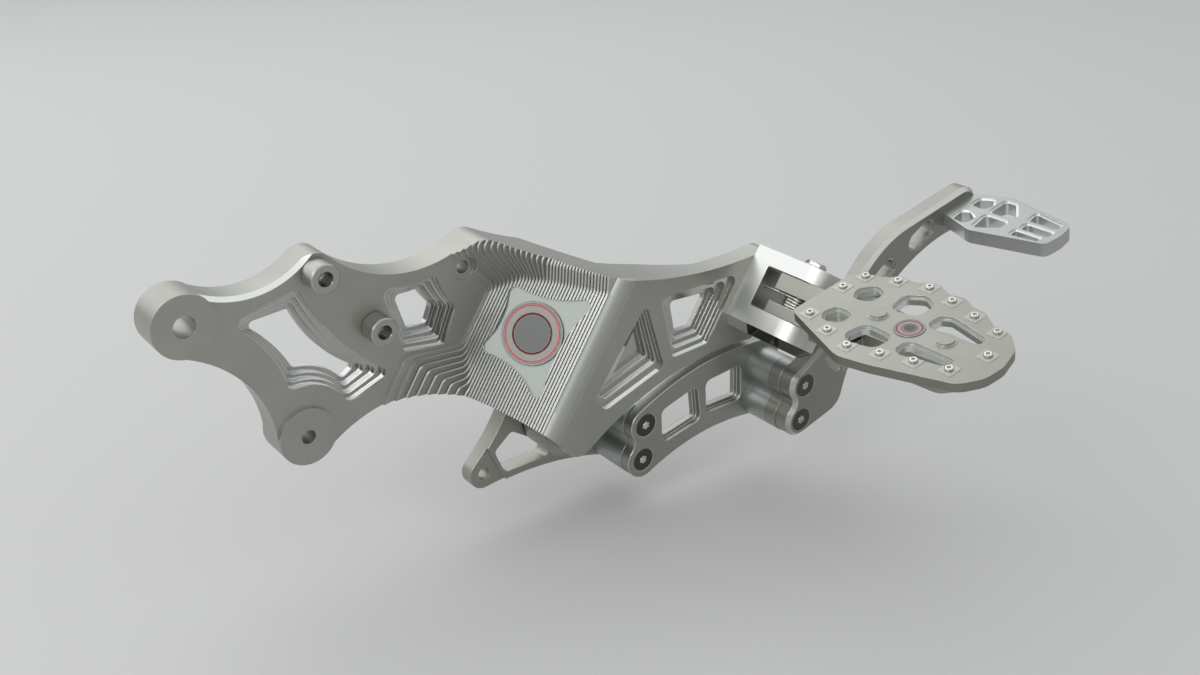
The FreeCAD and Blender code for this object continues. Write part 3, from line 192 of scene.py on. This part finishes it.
def metal(name, colour, roughness, grain=0.0004, grain_depth=0.00003, edge=EDGE_WEAR_AND_SHINE,
          edge_width=0.0005, finishes=None, relief=None, rounded=None, scallops=None):
    """Metal with a fine grain, faint patches and broken edges painted bright, partly as wear and
    partly as a painted highlight. Finishes gives the places that are finished otherwise or painted
    with light or shade, as shares with their colour and roughness, from the place in millimetres
    and the facing in the bracket's own axes. Relief gives a height, rounded gives how much wider
    the edges are broken, and scallops turns the surface."""
    finish = bpy.data.materials.new(name)
    finish.use_nodes = True
    tree = finish.node_tree
    shader = tree.nodes["Principled BSDF"]
    shader.inputs["Metallic"].default_value = 1.0
    coordinates = tree.nodes.new("ShaderNodeTexCoord")
    place = coordinates.outputs["Object"]
    spot = own_axes(tree, place, MM_PER_METRE)
    facing = own_axes(tree, coordinates.outputs["Normal"], 1.0)

    darker, lighter = [tuple(c * (1 + change) for c in colour)
                       for change in (-PATCH_CONTRAST, PATCH_CONTRAST)]
    base = mixed(tree, speckle(tree, place, PATCH_SIZE), darker, lighter)
    blasted = speckle(tree, place, grain)
    smoothest = roughness - GRAIN_ROUGHENS / 2
    rough = arithmetic(tree, "MULTIPLY_ADD", blasted, GRAIN_ROUGHENS, smoothest)
    finished_places = finishes(tree, spot, facing) if finishes else []
    for share, tint, smoothness in finished_places:
        base = mixed(tree, share, base, tint)
        rough = mixed(tree, share, rough, smoothness)
        grain_left = arithmetic(tree, "MULTIPLY_ADD", share, -GRAIN_CUT_AWAY, 1.0)
        blasted = all_of(tree, blasted, grain_left)

    rounding = tree.nodes.new("ShaderNodeBevel")
    rounding.samples = 6
    rounding.inputs["Radius"].default_value = edge_width
    if rounded:
        width_here = arithmetic(tree, "MULTIPLY", rounded(tree, spot), edge_width)
        join(tree, width_here, rounding.inputs["Radius"])
    flat_facing = tree.nodes.new("ShaderNodeNewGeometry").outputs["Normal"]
    agreement = tree.nodes.new("ShaderNodeVectorMath")
    agreement.operation = "DOT_PRODUCT"
    join(tree, rounding.outputs[0], agreement.inputs[0])
    join(tree, flat_facing, agreement.inputs[1])
    # Broken edges are painted lighter, partly as wear and partly as a painted highlight.
    on_edge = arithmetic(tree, "MULTIPLY_ADD", agreement.outputs["Value"], *EDGE_RAMP, clamp=True)
    base = mixed(tree, arithmetic(tree, "MULTIPLY", on_edge, EDGE_WEAR_AND_HIGHLIGHT), base, edge)
    rough = arithmetic(tree, "MULTIPLY_ADD", on_edge, -EDGE_GLOSS, rough)
    join(tree, base, shader.inputs["Base Color"])
    join(tree, rough, shader.inputs["Roughness"])

    height = arithmetic(tree, "ADD", blasted, relief(tree, spot)) if relief else blasted
    surface = rounding.outputs[0]
    if scallops:
        surface = scallops(tree, spot, facing, surface)
    bump = tree.nodes.new("ShaderNodeBump")
    bump.inputs["Strength"].default_value = GRAIN_STRENGTH
    bump.inputs["Distance"].default_value = grain_depth
    join(tree, height, bump.inputs["Height"])
    join(tree, surface, bump.inputs["Normal"])
    join(tree, bump.outputs["Normal"], shader.inputs["Normal"])
    return finish


def dress(finish, *names):
    for name in names:
        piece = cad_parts[name]
        piece.data.materials.clear()
        piece.data.materials.append(finish)


CHAMFER_FACING = (-0.85, -0.55, 0.08)


def towards_rider(tree, facing, least=0.8, soft=0.1):
    return between(tree, facing[1], -1.2, -least, soft)


def chamfered(tree, facing):
    return between(tree, facing[1], *CHAMFER_FACING)


# The bracket's windows and its pocket are milled in steps, each a little smaller than the last.
# Ovals give how far they reach over the plates, and two depths where their steps lie.
LEFT_OPENINGS = (((85, 8), (66, 36)), ((139, 50), (31, 26)))
RIGHT_OPENINGS = (((285, 116), (27, 27)), ((253, 76), (26, 40)))
LEFT_STEPS = (3.4, 21.6)
RIGHT_STEPS = (-64.6, -50.3)
TOP_WALL_Z = (130, 200)
TOP_WALL_FACING = (0.3, 1.2, 0.1)
LIT_WALL_FACING = (0.25, 1.2, 0.2)


def in_windows(tree, spot):
    plates = []
    for openings, steps in ((LEFT_OPENINGS, LEFT_STEPS), (RIGHT_OPENINGS, RIGHT_STEPS)):
        ovals = []
        for centre, reaches in openings:
            out = distance_from(tree, spot[0], spot[2], centre, reaches)
            ovals.append(within(tree, out, 1, 0.02))
        plates.append(all_of(tree, any_of(tree, *ovals), between(tree, spot[1], *steps)))
    return any_of(tree, *plates)


def window_walls(tree, spot, facing):
    """What lies inside the stepped windows, its walls, and the walls that face up."""
    top_wall = all_of(tree, between(tree, spot[2], *TOP_WALL_Z),
                      between(tree, facing[2], *TOP_WALL_FACING))
    inside = without(tree, in_windows(tree, spot), top_wall)
    walls = without(tree, inside, towards_rider(tree, facing))
    return inside, walls, all_of(tree, walls, between(tree, facing[2], *LIT_WALL_FACING))


# The terraced panel steps out from the left plate to the bar. Its terraces fan out above and
# below the star pad, and a ball cutter leaves the risers between them hollow.
PANEL_X = (148, 214.7)
PANEL_DEPTH = (-60.5, -0.3)
STAR_PAD_FACING = (-0.853, -0.523, 0.0)
STAR_PAD_MATCH = (0.992, 1.2, 0.01)
STAR_PAD_Z = (30, 110)
UPPER_FAN = ((72, 200), (-1.2, 0.35, 0.1))
LOWER_FAN = ((-20, 72), (-0.35, 1.2, 0.1))
SCALLOP_LEAN = 2.0
WINDOW_ROUNDING = 2.6


def panel_block(tree, spot):
    return all_of(tree, between(tree, spot[0], *PANEL_X), between(tree, spot[1], *PANEL_DEPTH))


def on_panel(tree, spot, facing):
    """The star pad, the terraces round it, and their risers."""
    slope = along(tree, facing, STAR_PAD_FACING)
    star_pad = all_of(tree, between(tree, slope, *STAR_PAD_MATCH), between(tree, spot[2], *STAR_PAD_Z))
    terraces = without(tree, panel_block(tree, spot), star_pad)
    fans = [all_of(tree, between(tree, spot[2], *heights), between(tree, facing[2], *facings))
            for heights, facings in (UPPER_FAN, LOWER_FAN)]
    risers = without(tree, all_of(tree, terraces, any_of(tree, *fans)), towards_rider(tree, facing))
    return star_pad, terraces, risers


def milled_scallops(tree, spot, facing, surface):
    """Risers and ledges hollowed by a ball cutter, so they lean towards the panel's slope."""
    risers = on_panel(tree, spot, facing)[2]
    lit_walls = window_walls(tree, spot, facing)[2]
    lean = [MM_PER_METRE * SCALLOP_LEAN * part for part in STAR_PAD_FACING]
    leaning = tree.nodes.new("ShaderNodeVectorMath")
    leaning.operation = "MULTIPLY_ADD"
    leaning.inputs[0].default_value = as_fitted(*lean)
    join(tree, any_of(tree, risers, lit_walls), leaning.inputs[1])
    join(tree, surface, leaning.inputs[2])
    unit = tree.nodes.new("ShaderNodeVectorMath")
    unit.operation = "NORMALIZE"
    join(tree, leaning.outputs[0], unit.inputs[0])
    return unit.outputs[0]


def edge_rounding(tree, spot):
    """Crisp terraces, and well rounded steps in the windows."""
    broken = arithmetic(tree, "SUBTRACT", 1.0, panel_block(tree, spot))
    return arithmetic(tree, "MULTIPLY_ADD", in_windows(tree, spot), WINDOW_ROUNDING, broken)


# The bracket is masked and cut again after blasting, so some places on it have their own colour
# and roughness. Others are painted light and shade: darker terrace treads and lighter risers,
# shaded window walls and near-white walls facing up, lighter outer faces on the clevis and
# near-black undersides of the ears. The depths and facings below say where each one begins and ends.
BLASTED_BILLET = ((0.400, 0.405, 0.370), 0.42)
# The terrace treads are painted darker as painted shade, and their risers lighter as a painted
# highlight.
TERRACE_TREAD_SHADED = ((0.33, 0.335, 0.31), 0.40)
TERRACE_RISER_LIT = ((0.42, 0.425, 0.405), 0.30)
LEDGE_BRIGHT = ((0.46, 0.465, 0.44), 0.16)
# The window walls are painted darker as painted shade, and those facing up near white as painted light.
LEDGE_WALL_SHADED = ((0.36, 0.365, 0.35), 0.20)
LEDGE_WALL_LIT = ((0.90, 0.905, 0.89), 0.42)
CHAMFER_BRIGHT = ((0.80, 0.805, 0.78), 0.30)
BAR_SATIN = ((0.46, 0.465, 0.44), 0.50)
STAR_PAD_SATIN = ((0.35, 0.375, 0.35), 0.52)
CLEVIS_SATIN = ((0.52, 0.53, 0.505), 0.40)
# The clevis's outer faces that face left are painted lighter: a painted highlight.
CLEVIS_OUTER_HIGHLIGHT = ((0.72, 0.73, 0.705), 0.42)
# The downward faces under the ears are painted near black: painted shade.
UNDER_EAR_SHADE = ((0.10, 0.10, 0.09), 0.10)
CHAMFER_DEPTH = (1.5, 5.5)
BAR_X = (214.7, 226.2)
BAR_DEPTH = (-66, -59.8)
WEB_DEPTH = (-81, -79)
CLEVIS_DEPTH = (-150, -65.3)
CLEVIS_OUTER_FACING = (-1.2, -0.35, 0.2)
EAR_DEPTH = (-150, -84)
EAR_Z = (100, 131)
EAR_UNDERSIDE = (-0.9, -0.3, 0.1)


def billet_finishes_and_painted_light(tree, spot, facing):
    x, y, z = spot
    outward = towards_rider(tree, facing)
    step_depths = any_of(tree, between(tree, y, *LEFT_STEPS), between(tree, y, *RIGHT_STEPS))
    in_holes, hole_walls, lit_walls = window_walls(tree, spot, facing)
    star_pad, terraces, risers = on_panel(tree, spot, facing)
    web = all_of(tree, outward, between(tree, y, *WEB_DEPTH))
    clevis = without(tree, between(tree, y, *CLEVIS_DEPTH), web)
    return [
        (all_of(tree, terraces, outward), *TERRACE_TREAD_SHADED),
        (risers, *TERRACE_RISER_LIT),
        (any_of(tree, in_holes, all_of(tree, step_depths, outward)), *LEDGE_BRIGHT),
        (hole_walls, *LEDGE_WALL_SHADED),
        (lit_walls, *LEDGE_WALL_LIT),
        (all_of(tree, between(tree, y, *CHAMFER_DEPTH), chamfered(tree, facing)), *CHAMFER_BRIGHT),
        (all_of(tree, between(tree, x, *BAR_X), between(tree, y, *BAR_DEPTH)), *BAR_SATIN),
        (star_pad, *STAR_PAD_SATIN),
        (clevis, *CLEVIS_SATIN),
        (all_of(tree, clevis, between(tree, facing[0], *CLEVIS_OUTER_FACING)), *CLEVIS_OUTER_HIGHLIGHT),
        (all_of(tree, between(tree, y, *EAR_DEPTH), between(tree, z, *EAR_Z),
                between(tree, facing[2], *EAR_UNDERSIDE)), *UNDER_EAR_SHADE),
    ]


# The faces of the two bosses are turned last, and keep the fine rings of the cutter.
BOSSES = (((0.0, 0.0), 18.2), ((100.9, -40.5), 17.7))
BOSS_FACE = (-0.2, 0.2, 0.1)
TURNED_RING = 0.55
TURNED_HEIGHT = 0.35


def turned_bosses(tree, spot):
    rings = []
    for axis, reach in BOSSES:
        radius = distance_from(tree, spot[0], spot[2], axis)
        rings.append(all_of(tree, ridges(tree, radius, TURNED_RING), within(tree, radius, reach)))
    on_face = between(tree, spot[1], *BOSS_FACE)
    return all_of(tree, arithmetic(tree, "ADD", *rings), on_face, TURNED_HEIGHT)


billet = metal("blasted_billet", *BLASTED_BILLET, grain_depth=0.000012, edge_width=0.00025,
               finishes=billet_finishes_and_painted_light, relief=turned_bosses, rounded=edge_rounding,
               scallops=milled_scallops)
dress(billet, "main_bracket")

# The two standoffs are turned from bar and pressed into the left plate. Their bores are tapped,
# and a chamfer runs round each open end. The bores are painted bright as painted light, and the
# thread's grooves near black as painted shade.
STANDOFF_GREY = ((0.42, 0.42, 0.385), 0.38)
# Painted light in the bores and painted shade in the thread's grooves.
BORE_PAINTED_LIGHT = ((0.75, 0.75, 0.73), 0.22)
THREAD_GROOVE_SHADE = ((0.10, 0.10, 0.09), 0.35)
STANDOFF_AXES = ((60.1, 51.8), (111.5, 34.6))
BORE_WALL_R = 4.7
BORE_DEPTH = (-30, -0.5)
THREAD_PITCH = 1.5
THREAD_HEIGHT = 9.0
GROOVE_SHARE = (-1.5, -0.1, 0.5)


def in_bores(tree, spot):
    return any_of(tree, *[within(tree, distance_from(tree, spot[0], spot[2], axis), BORE_WALL_R)
                          for axis in STANDOFF_AXES])


def standoff_painted_light_and_shade(tree, spot, facing):
    bore = in_bores(tree, spot)
    in_groove = between(tree, ridges(tree, spot[1], THREAD_PITCH), *GROOVE_SHARE)
    groove = all_of(tree, bore, in_groove, between(tree, spot[1], *BORE_DEPTH))
    return [(bore, *BORE_PAINTED_LIGHT), (groove, *THREAD_GROOVE_SHADE)]


def tapped_thread(tree, spot):
    crest = ridges(tree, spot[1], THREAD_PITCH)
    return all_of(tree, crest, in_bores(tree, spot), between(tree, spot[1], *BORE_DEPTH), THREAD_HEIGHT)


turned_bar = metal("turned_standoff", *STANDOFF_GREY, grain=0.0003, finishes=standoff_painted_light_and_shade,
                   relief=tapped_thread)
dress(turned_bar, "standoff_upper", "standoff_lower")

# A thin disc is bonded to the star pad. It is left plain: a brushed centre, a polished rim and two
# thin rings of copper-red enamel.
PLAIN_DISC = ((0.23, 0.23, 0.225), 0.48)
DISC_BRUSHED = ((0.12, 0.122, 0.12), 0.46)
ENAMEL_RED = ((0.16, 0.022, 0.016), 0.25)
DISC_RINGS = ((17.0, 17.9), (11.8, 12.9))
DISC_CENTRE_R = 11.5
ENAMEL_BORDER = 0.15


def disc_finishes(centre, rings, brushed_r):
    """Rings round a disc's centre, given in metres in the part's frame."""
    def finishes(tree, spot, facing):
        from_centre = tree.nodes.new("ShaderNodeVectorMath")
        from_centre.operation = "DISTANCE"
        from_centre.inputs[1].default_value = centre
        join(tree, tree.nodes["Texture Coordinate"].outputs["Object"], from_centre.inputs[0])
        radius = arithmetic(tree, "MULTIPLY", from_centre.outputs["Value"], MM_PER_METRE)
        enamel = [(between(tree, radius, *ring, ENAMEL_BORDER), *ENAMEL_RED) for ring in rings]
        return [(within(tree, radius, brushed_r, 0.2), *DISC_BRUSHED), *enamel]
    return finishes


def middle_of(node):
    low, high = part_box(node)
    return tuple((a + b) / 2 for a, b in zip(low, high))


badge_rings = disc_finishes(middle_of("bracket_badge"), DISC_RINGS, DISC_CENTRE_R)
plain_disc = metal("plain_disc", *PLAIN_DISC, grain=0.0006, grain_depth=0.00001,
                   edge_width=0.0003, finishes=badge_rings)
dress(plain_disc, "bracket_badge")

# The hinge bolt, its washer and nut, the pivot bolt, its thrust washers and the carrier's bolt
# are stock stainless steel, turned and left satin.
STAINLESS = ((0.46, 0.45, 0.43), 0.28)
stainless = metal("stainless_steel", *STAINLESS, grain=0.0006, grain_depth=0.00001,
                  edge_width=0.0004)
dress(stainless, "hinge_bolt", "hinge_washer", "hinge_nut", "pivot_bolt", "thrust_washer_front",
      "thrust_washer_rear", "carrier_bolt")

# The torsion spring is wound from drawn wire round the hinge bolt. One leg sits in a hole in the
# web of the clevis, the other bears on the root of the carrier.
DRAWN_WIRE = ((0.66, 0.65, 0.61), 0.25)
WIRE_R = 0.9
HINGE_AXIS = (327.0, -104.0)
COIL_R = 8.6
COIL_TOP = 156.55
COIL_BOTTOM = 150.4
COIL_TURNS = 3
POINTS_PER_TURN = 24
WEB_LEG = ((319.6, -77.0), (319.6, -87.0), (318.8, -97.0))
CARRIER_LEG = ((318.4, -119.5), (318.4, -127.5))

wire_path = [(x, y, COIL_TOP) for x, y in WEB_LEG]
coil_points = POINTS_PER_TURN * COIL_TURNS
for step in range(coil_points + 1):
    angle = math.pi + 2 * math.pi * step / POINTS_PER_TURN
    wire_path.append((HINGE_AXIS[0] + COIL_R * math.cos(angle),
                      HINGE_AXIS[1] + COIL_R * math.sin(angle),
                      COIL_TOP + (COIL_BOTTOM - COIL_TOP) * step / coil_points))
wire_path.extend((x, y, COIL_BOTTOM) for x, y in CARRIER_LEG)
wire = bpy.data.curves.new("torsion_spring_wire", "CURVE")
wire.dimensions = "3D"
wire.bevel_depth = WIRE_R / MM_PER_METRE
wire.bevel_resolution = 4
wire.use_fill_caps = True
run = wire.splines.new("NURBS")
run.points.add(len(wire_path) - 1)
for point, where in zip(run.points, wire_path):
    point.co = (*as_fitted(*where), 1)
run.order_u = 4
run.use_endpoint_u = True
run.resolution_u = 4
spring = bpy.data.objects.new("torsion_spring_wire", wire)
bpy.context.scene.collection.objects.link(spring)
drawn_wire = metal("drawn_wire", *DRAWN_WIRE, grain_depth=0.000005, edge_width=0.0002)
wire.materials.append(drawn_wire)
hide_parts("torsion_spring")
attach(spring, "bracket")

# Bearing bronze bushes, turned and left plain, are pressed into the rear arm and into the
# carrier's lugs.
BRONZE = ((0.42, 0.30, 0.16), 0.38)
BRONZE_EDGE = (0.75, 0.6, 0.4)
bronze = metal("bearing_bronze", *BRONZE, edge=BRONZE_EDGE, edge_width=0.0003)
dress(bronze, "pivot_bush_front", "pivot_bush_rear", "lug_bush_lower", "lug_bush_upper")

# The pedal is bolted up from plates of the same stock. Their chamfers and the ledges of their
# windows and slots are cut bright, the pedal arm's front face is painted darker as painted shade,
# and the link plate's edges are well rounded and painted near white as a painted highlight.
PLATE_GREY = ((0.355, 0.358, 0.322), 0.42)
# The pedal arm's front face is painted darker: painted shade.
ARM_FACE_SHADE = ((0.27, 0.272, 0.245), 0.40)
PLATE_CHAMFER = ((0.58, 0.585, 0.55), 0.32)
PLATE_LEDGE = ((0.46, 0.465, 0.44), 0.22)
# The link plate's rounded edges are painted near white: a painted highlight.
PLATE_EDGE_HIGHLIGHT = (0.97, 0.97, 0.94)
LINK_EDGE_WIDTH = 0.0013
LINK_LEDGES = (-63, -58)
SLOT_LEDGES = (-107.5, -96)
ARM_FACE = (-112, -107.8)


def plate_finishes_and_painted_shade(tree, spot, facing):
    outward = towards_rider(tree, facing, 0.9, 0.05)
    ledges = [all_of(tree, outward, between(tree, spot[1], *depth))
              for depth in (LINK_LEDGES, SLOT_LEDGES)]
    arm_face = all_of(tree, outward, between(tree, spot[1], *ARM_FACE))
    return [(arm_face, *ARM_FACE_SHADE), (chamfered(tree, facing), *PLATE_CHAMFER),
            (any_of(tree, *ledges), *PLATE_LEDGE)]


plate_stock = metal("blasted_plate", *PLATE_GREY, grain_depth=0.000015, finishes=plate_finishes_and_painted_shade)
dress(plate_stock, "rear_arm", "pedal_arm")
link_stock = metal("rounded_link_plate", *PLATE_GREY, grain_depth=0.000015, edge=PLATE_EDGE_HIGHLIGHT,
                   edge_width=LINK_EDGE_WIDTH, finishes=plate_finishes_and_painted_shade)
dress(link_stock, "link_plate")

# The spacers between the plates are turned and satin, a shade cooler. The front one ends in a
# collar of the plates' own grey.
SPACER_GREY = ((0.43, 0.46, 0.445), 0.46)
COLLAR_JOINT = ((0.08, 0.08, 0.07), 0.5)
COLLAR_DEPTH = (-100, -86.5, 0.1)
JOINT_DEPTH = (-86.65, -86.35, 0.1)


def spacer_finishes(tree, spot, facing):
    return [(between(tree, spot[1], *COLLAR_DEPTH), *PLATE_GREY),
            (between(tree, spot[1], *JOINT_DEPTH), *COLLAR_JOINT)]


spacer_stock = metal("satin_spacer", *SPACER_GREY, grain_depth=0.000012, finishes=spacer_finishes)
dress(spacer_stock, "rear_spacer", "front_spacer")

# Countersunk screws with a burnished dark finish hold the plates and the treads. Their star
# sockets are bright where the key has worn them.
BURNISHED = ((0.085, 0.082, 0.075), 0.30)
BURNISHED_EDGE = (0.45, 0.44, 0.41)
SOCKET_BRIGHT = ((0.92, 0.91, 0.88), 0.35)
SOCKET_R = 3.1
SCREW_AXES = ((289.4, 41.8), (301.3, 19.9), (366.5, 108.6), (378.3, 86.7))
LINK_HEADS = (-65.3, -64.7, 0.1)
PEDAL_HEADS = (-108.3, -107.7, 0.1)


def screw_finishes(tree, spot, facing):
    sockets = [within(tree, distance_from(tree, spot[0], spot[2], axis), SOCKET_R, 0.1)
               for axis in SCREW_AXES]
    heads = any_of(tree, *[between(tree, spot[1], *depth) for depth in (LINK_HEADS, PEDAL_HEADS)])
    head_faces = all_of(tree, towards_rider(tree, facing, 0.9, 0.05), heads)
    return [(without(tree, any_of(tree, *sockets), head_faces), *SOCKET_BRIGHT)]


burnished = metal("burnished_screw", *BURNISHED, edge=BURNISHED_EDGE, edge_width=0.0004,
                  finishes=screw_finishes)
dress(burnished, "link_screws", "pedal_screws", "toe_pad_screws", "tread_screws")

# The toe pad is milled from plate, with pockets whose rims and walls are painted light, lifting the
# shade in them, and two screws hold it on the pedal arm.
TOE_PAD_GREY = ((0.46, 0.47, 0.45), 0.42)
# The pockets' walls are painted light, lifting their shade.
POCKET_PAINTED_LIGHT = ((0.80, 0.82, 0.81), 0.34)
TREAD_UP = (-0.7071, 0.0, 0.7071)
POCKET_X = (300, 700)
POCKET_HEIGHT = (-140, -117.9, 0.1)
HEEL_RIM = ((0.7071, 0.233, 0.7071), (439.8, 600))
TOE_RIM = ((0.7071, -0.1776, 0.7071), (0, 540.6))
END_RIMS = (-185, -100)


def toe_pad_painted_light(tree, spot, facing):
    below_face = all_of(tree, between(tree, spot[0], *POCKET_X),
                        between(tree, along(tree, spot, TREAD_UP), *POCKET_HEIGHT))
    inside_rims = [between(tree, along(tree, spot, direction), *limits)
                   for direction, limits in (HEEL_RIM, TOE_RIM)]
    pockets = all_of(tree, below_face, *inside_rims, between(tree, spot[1], *END_RIMS))
    return [(without(tree, pockets, towards_rider(tree, facing)), *POCKET_PAINTED_LIGHT)]


toe_pad_stock = metal("milled_toe_pad", *TOE_PAD_GREY, grain_depth=0.000012, edge_width=0.0006,
                      finishes=toe_pad_painted_light)
dress(toe_pad_stock, "toe_pad")

# The tread and its carrier are blasted warmer and a little rougher, for grip. Its side walls are
# painted darker as painted shade, and the walls of its windows are painted lighter as painted light.
TREAD_GREY = ((0.355, 0.357, 0.320), 0.46)
# The tread's side walls are painted darker as painted shade, and its window walls lighter as painted
# light.
TREAD_WALL_SHADE = ((0.27, 0.27, 0.235), 0.46)
WINDOW_WALL_PAINTED_LIGHT = ((0.72, 0.75, 0.73), 0.40)
STUD_SEAT_GREY = ((0.41, 0.412, 0.372), 0.42)
TREAD_ACROSS = (0.7071, 0.0, 0.7071)
TREAD_FACE = -94.3
TREAD_WALLS = (TREAD_FACE - 6.2, TREAD_FACE - 0.1, 0.1)
STUD_SEATS = (TREAD_FACE + 0.2, TREAD_FACE + 0.6, 0.1)
STEEP = (-0.5, 0.5, 0.1)
WINDOWS_MIDDLE = (330.0, -203.0)
WINDOWS_REACH = (37.5, 58.0)


def tread_finishes_and_painted_light(tree, spot, facing):
    height = along(tree, spot, TREAD_UP)
    walls = all_of(tree, between(tree, along(tree, facing, TREAD_UP), *STEEP),
                   between(tree, height, *TREAD_WALLS))
    across = along(tree, spot, TREAD_ACROSS)
    from_middle = distance_from(tree, across, spot[1], WINDOWS_MIDDLE, WINDOWS_REACH)
    windows = all_of(tree, walls, within(tree, from_middle, 1, 0.02))
    return [(walls, *TREAD_WALL_SHADE), (windows, *WINDOW_WALL_PAINTED_LIGHT),
            (between(tree, height, *STUD_SEATS), *STUD_SEAT_GREY)]


tread_stock = metal("blasted_tread", *TREAD_GREY, grain=0.0005, grain_depth=0.00002,
                    finishes=tread_finishes_and_painted_light)
dress(tread_stock, "tread_plate", "peg_carrier")

# A plain pressed disc is stuck on the middle of the tread, over its seat: a rim, a flat with two
# enamel rings and a low middle.
PRESSED_DISC = ((0.23, 0.23, 0.225), 0.34)
TREAD_DISC_MIDDLE = 0.45
TREAD_DISC_STEPS = ((3.4, 0.45), (3.7, 0.3), (8.2, 0.3), (8.5, 0.55), (9.0, 0.55), (9.2, 0.35),
                    (9.2, -0.2))
DISC_SEAT = 0.1
RING_POINTS = 96
TREAD_DISC_RINGS = ((6.9, 7.7), (4.1, 4.7))
TREAD_DISC_CENTRE_R = 3.5

seat = Vector(middle_of("tread_badge"))
facing_out = as_fitted(*TREAD_UP).normalized()
turn = facing_out.to_track_quat("Z", "Y").to_matrix()


def on_disc(radius, angle, height):
    across = Vector((radius * math.cos(angle), radius * math.sin(angle), height + DISC_SEAT))
    return tuple(seat + turn @ (across / MM_PER_METRE))


points = [on_disc(0, 0, TREAD_DISC_MIDDLE)]
for radius, height in TREAD_DISC_STEPS:
    points.extend(on_disc(radius, 2 * math.pi * k / RING_POINTS, height) for k in range(RING_POINTS))
faces = []
last_ring = len(TREAD_DISC_STEPS) - 1
for k in range(RING_POINTS):
    after = (k + 1) % RING_POINTS
    faces.append((0, 1 + k, 1 + after))
    for level in range(last_ring):
        near = 1 + level * RING_POINTS
        far = near + RING_POINTS
        faces.append((near + k, far + k, far + after, near + after))
faces.append(tuple(1 + last_ring * RING_POINTS + k for k in reversed(range(RING_POINTS))))
pressed = bpy.data.meshes.new("tread_disc")
pressed.from_pydata(points, [], faces)
pressed.update()
tread_disc = bpy.data.objects.new("tread_disc", pressed)
bpy.context.scene.collection.objects.link(tread_disc)
tread_disc_rings = disc_finishes(tuple(seat), TREAD_DISC_RINGS, TREAD_DISC_CENTRE_R)
pressed_disc = metal("pressed_tread_disc", *PRESSED_DISC, grain=0.0006, grain_depth=0.00001,
                     edge_width=0.0002, finishes=tread_disc_rings)
pressed.materials.append(pressed_disc)
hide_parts("tread_badge")
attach(tread_disc, "peg")

# The studs are turned from stainless bar, polished and screwed into the tread, so that a boot
# doesn't slip.
STUD_STEEL = ((0.50, 0.485, 0.46), 0.12)
polished = metal("polished_stud", *STUD_STEEL, grain_depth=0.000005, edge_width=0.0003)
dress(polished, "tread_studs")

# The set is held just over a plain pale floor, with room for the pedal to swing down, under soft
# lamps, and is seen from above the rider's side.
PEDAL_SWING_ROOM = 0.02
FLOOR_SIZE = 14
FLOOR_MIDDLE = (0.2, 1.0)
FLOOR_PAINT = (0.52, 0.52, 0.51, 1)
FLOOR_ROUGHNESS = 0.7
ROOM_LOW = (0.22, 0.22, 0.22, 1)
ROOM_HIGH = (0.96, 0.98, 1.0, 1)
ROOM_HIGH_FROM = 0.55
ROOM_BRIGHTNESS = 0.95

floor_height = cad_low[2] - PEDAL_SWING_ROOM
bpy.ops.mesh.primitive_plane_add(size=FLOOR_SIZE, location=(*FLOOR_MIDDLE, floor_height))
floor = bpy.context.object
floor.name = "studio_floor"
floor_paint = bpy.data.materials.new("pale_floor")
floor_paint.use_nodes = True
floor_shader = floor_paint.node_tree.nodes["Principled BSDF"]
floor_shader.inputs["Base Color"].default_value = FLOOR_PAINT
floor_shader.inputs["Roughness"].default_value = FLOOR_ROUGHNESS
floor.data.materials.append(floor_paint)

world = bpy.data.worlds.new("studio_room")
bpy.context.scene.world = world
world.use_nodes = True
room = world.node_tree
look = room.nodes.new("ShaderNodeTexCoord")
upward = room.nodes.new("ShaderNodeSeparateXYZ")
join(room, look.outputs["Generated"], upward.inputs[0])
sky = room.nodes.new("ShaderNodeValToRGB")
sky.color_ramp.elements[0].color = ROOM_LOW
sky.color_ramp.elements[1].color = ROOM_HIGH
sky.color_ramp.elements[1].position = ROOM_HIGH_FROM
join(room, upward.outputs["Z"], sky.inputs["Fac"])
join(room, sky.outputs["Color"], room.nodes["Background"].inputs["Color"])
room.nodes["Background"].inputs["Strength"].default_value = ROOM_BRIGHTNESS


def lamp(name, place, target, size, watts):
    light = bpy.data.lights.new(name, "AREA")
    light.shape = "RECTANGLE"
    light.size, light.size_y = size
    light.energy = watts
    holder = bpy.data.objects.new(name, light)
    holder.location = place
    aim = Vector(target) - Vector(place)
    holder.rotation_euler = aim.to_track_quat("-Z", "Y").to_euler()
    bpy.context.scene.collection.objects.link(holder)


lamp("back_left", place=(-0.8, 1.25, 0.75), target=(0.25, 0, 0), size=(2.2, 1.3), watts=6.5)
lamp("back", place=(0.8, 1.3, 1.3), target=(0.25, 0, 0), size=(1.6, 1.0), watts=5.5)
lamp("left", place=(-1.5, -0.5, 0.95), target=(0.2, 0, 0), size=(1.0, 0.7), watts=9.0)

CAMERA_PLACE = (-0.2113, -0.640, 0.2917)
CAMERA_LOOK = (0.5509, 0.7193, -0.4234)
SENSOR_MM = 36
LENS_MM = 39.41
lens = bpy.data.cameras.new("product_camera")
lens.sensor_width = SENSOR_MM
lens.lens = LENS_MM
camera = bpy.data.objects.new("product_camera", lens)
camera.location = CAMERA_PLACE
camera.rotation_euler = Vector(CAMERA_LOOK).to_track_quat("-Z", "Y").to_euler()
bpy.context.scene.collection.objects.link(camera)
bpy.context.scene.camera = camera
bpy.context.scene.view_settings.view_transform = "Standard"
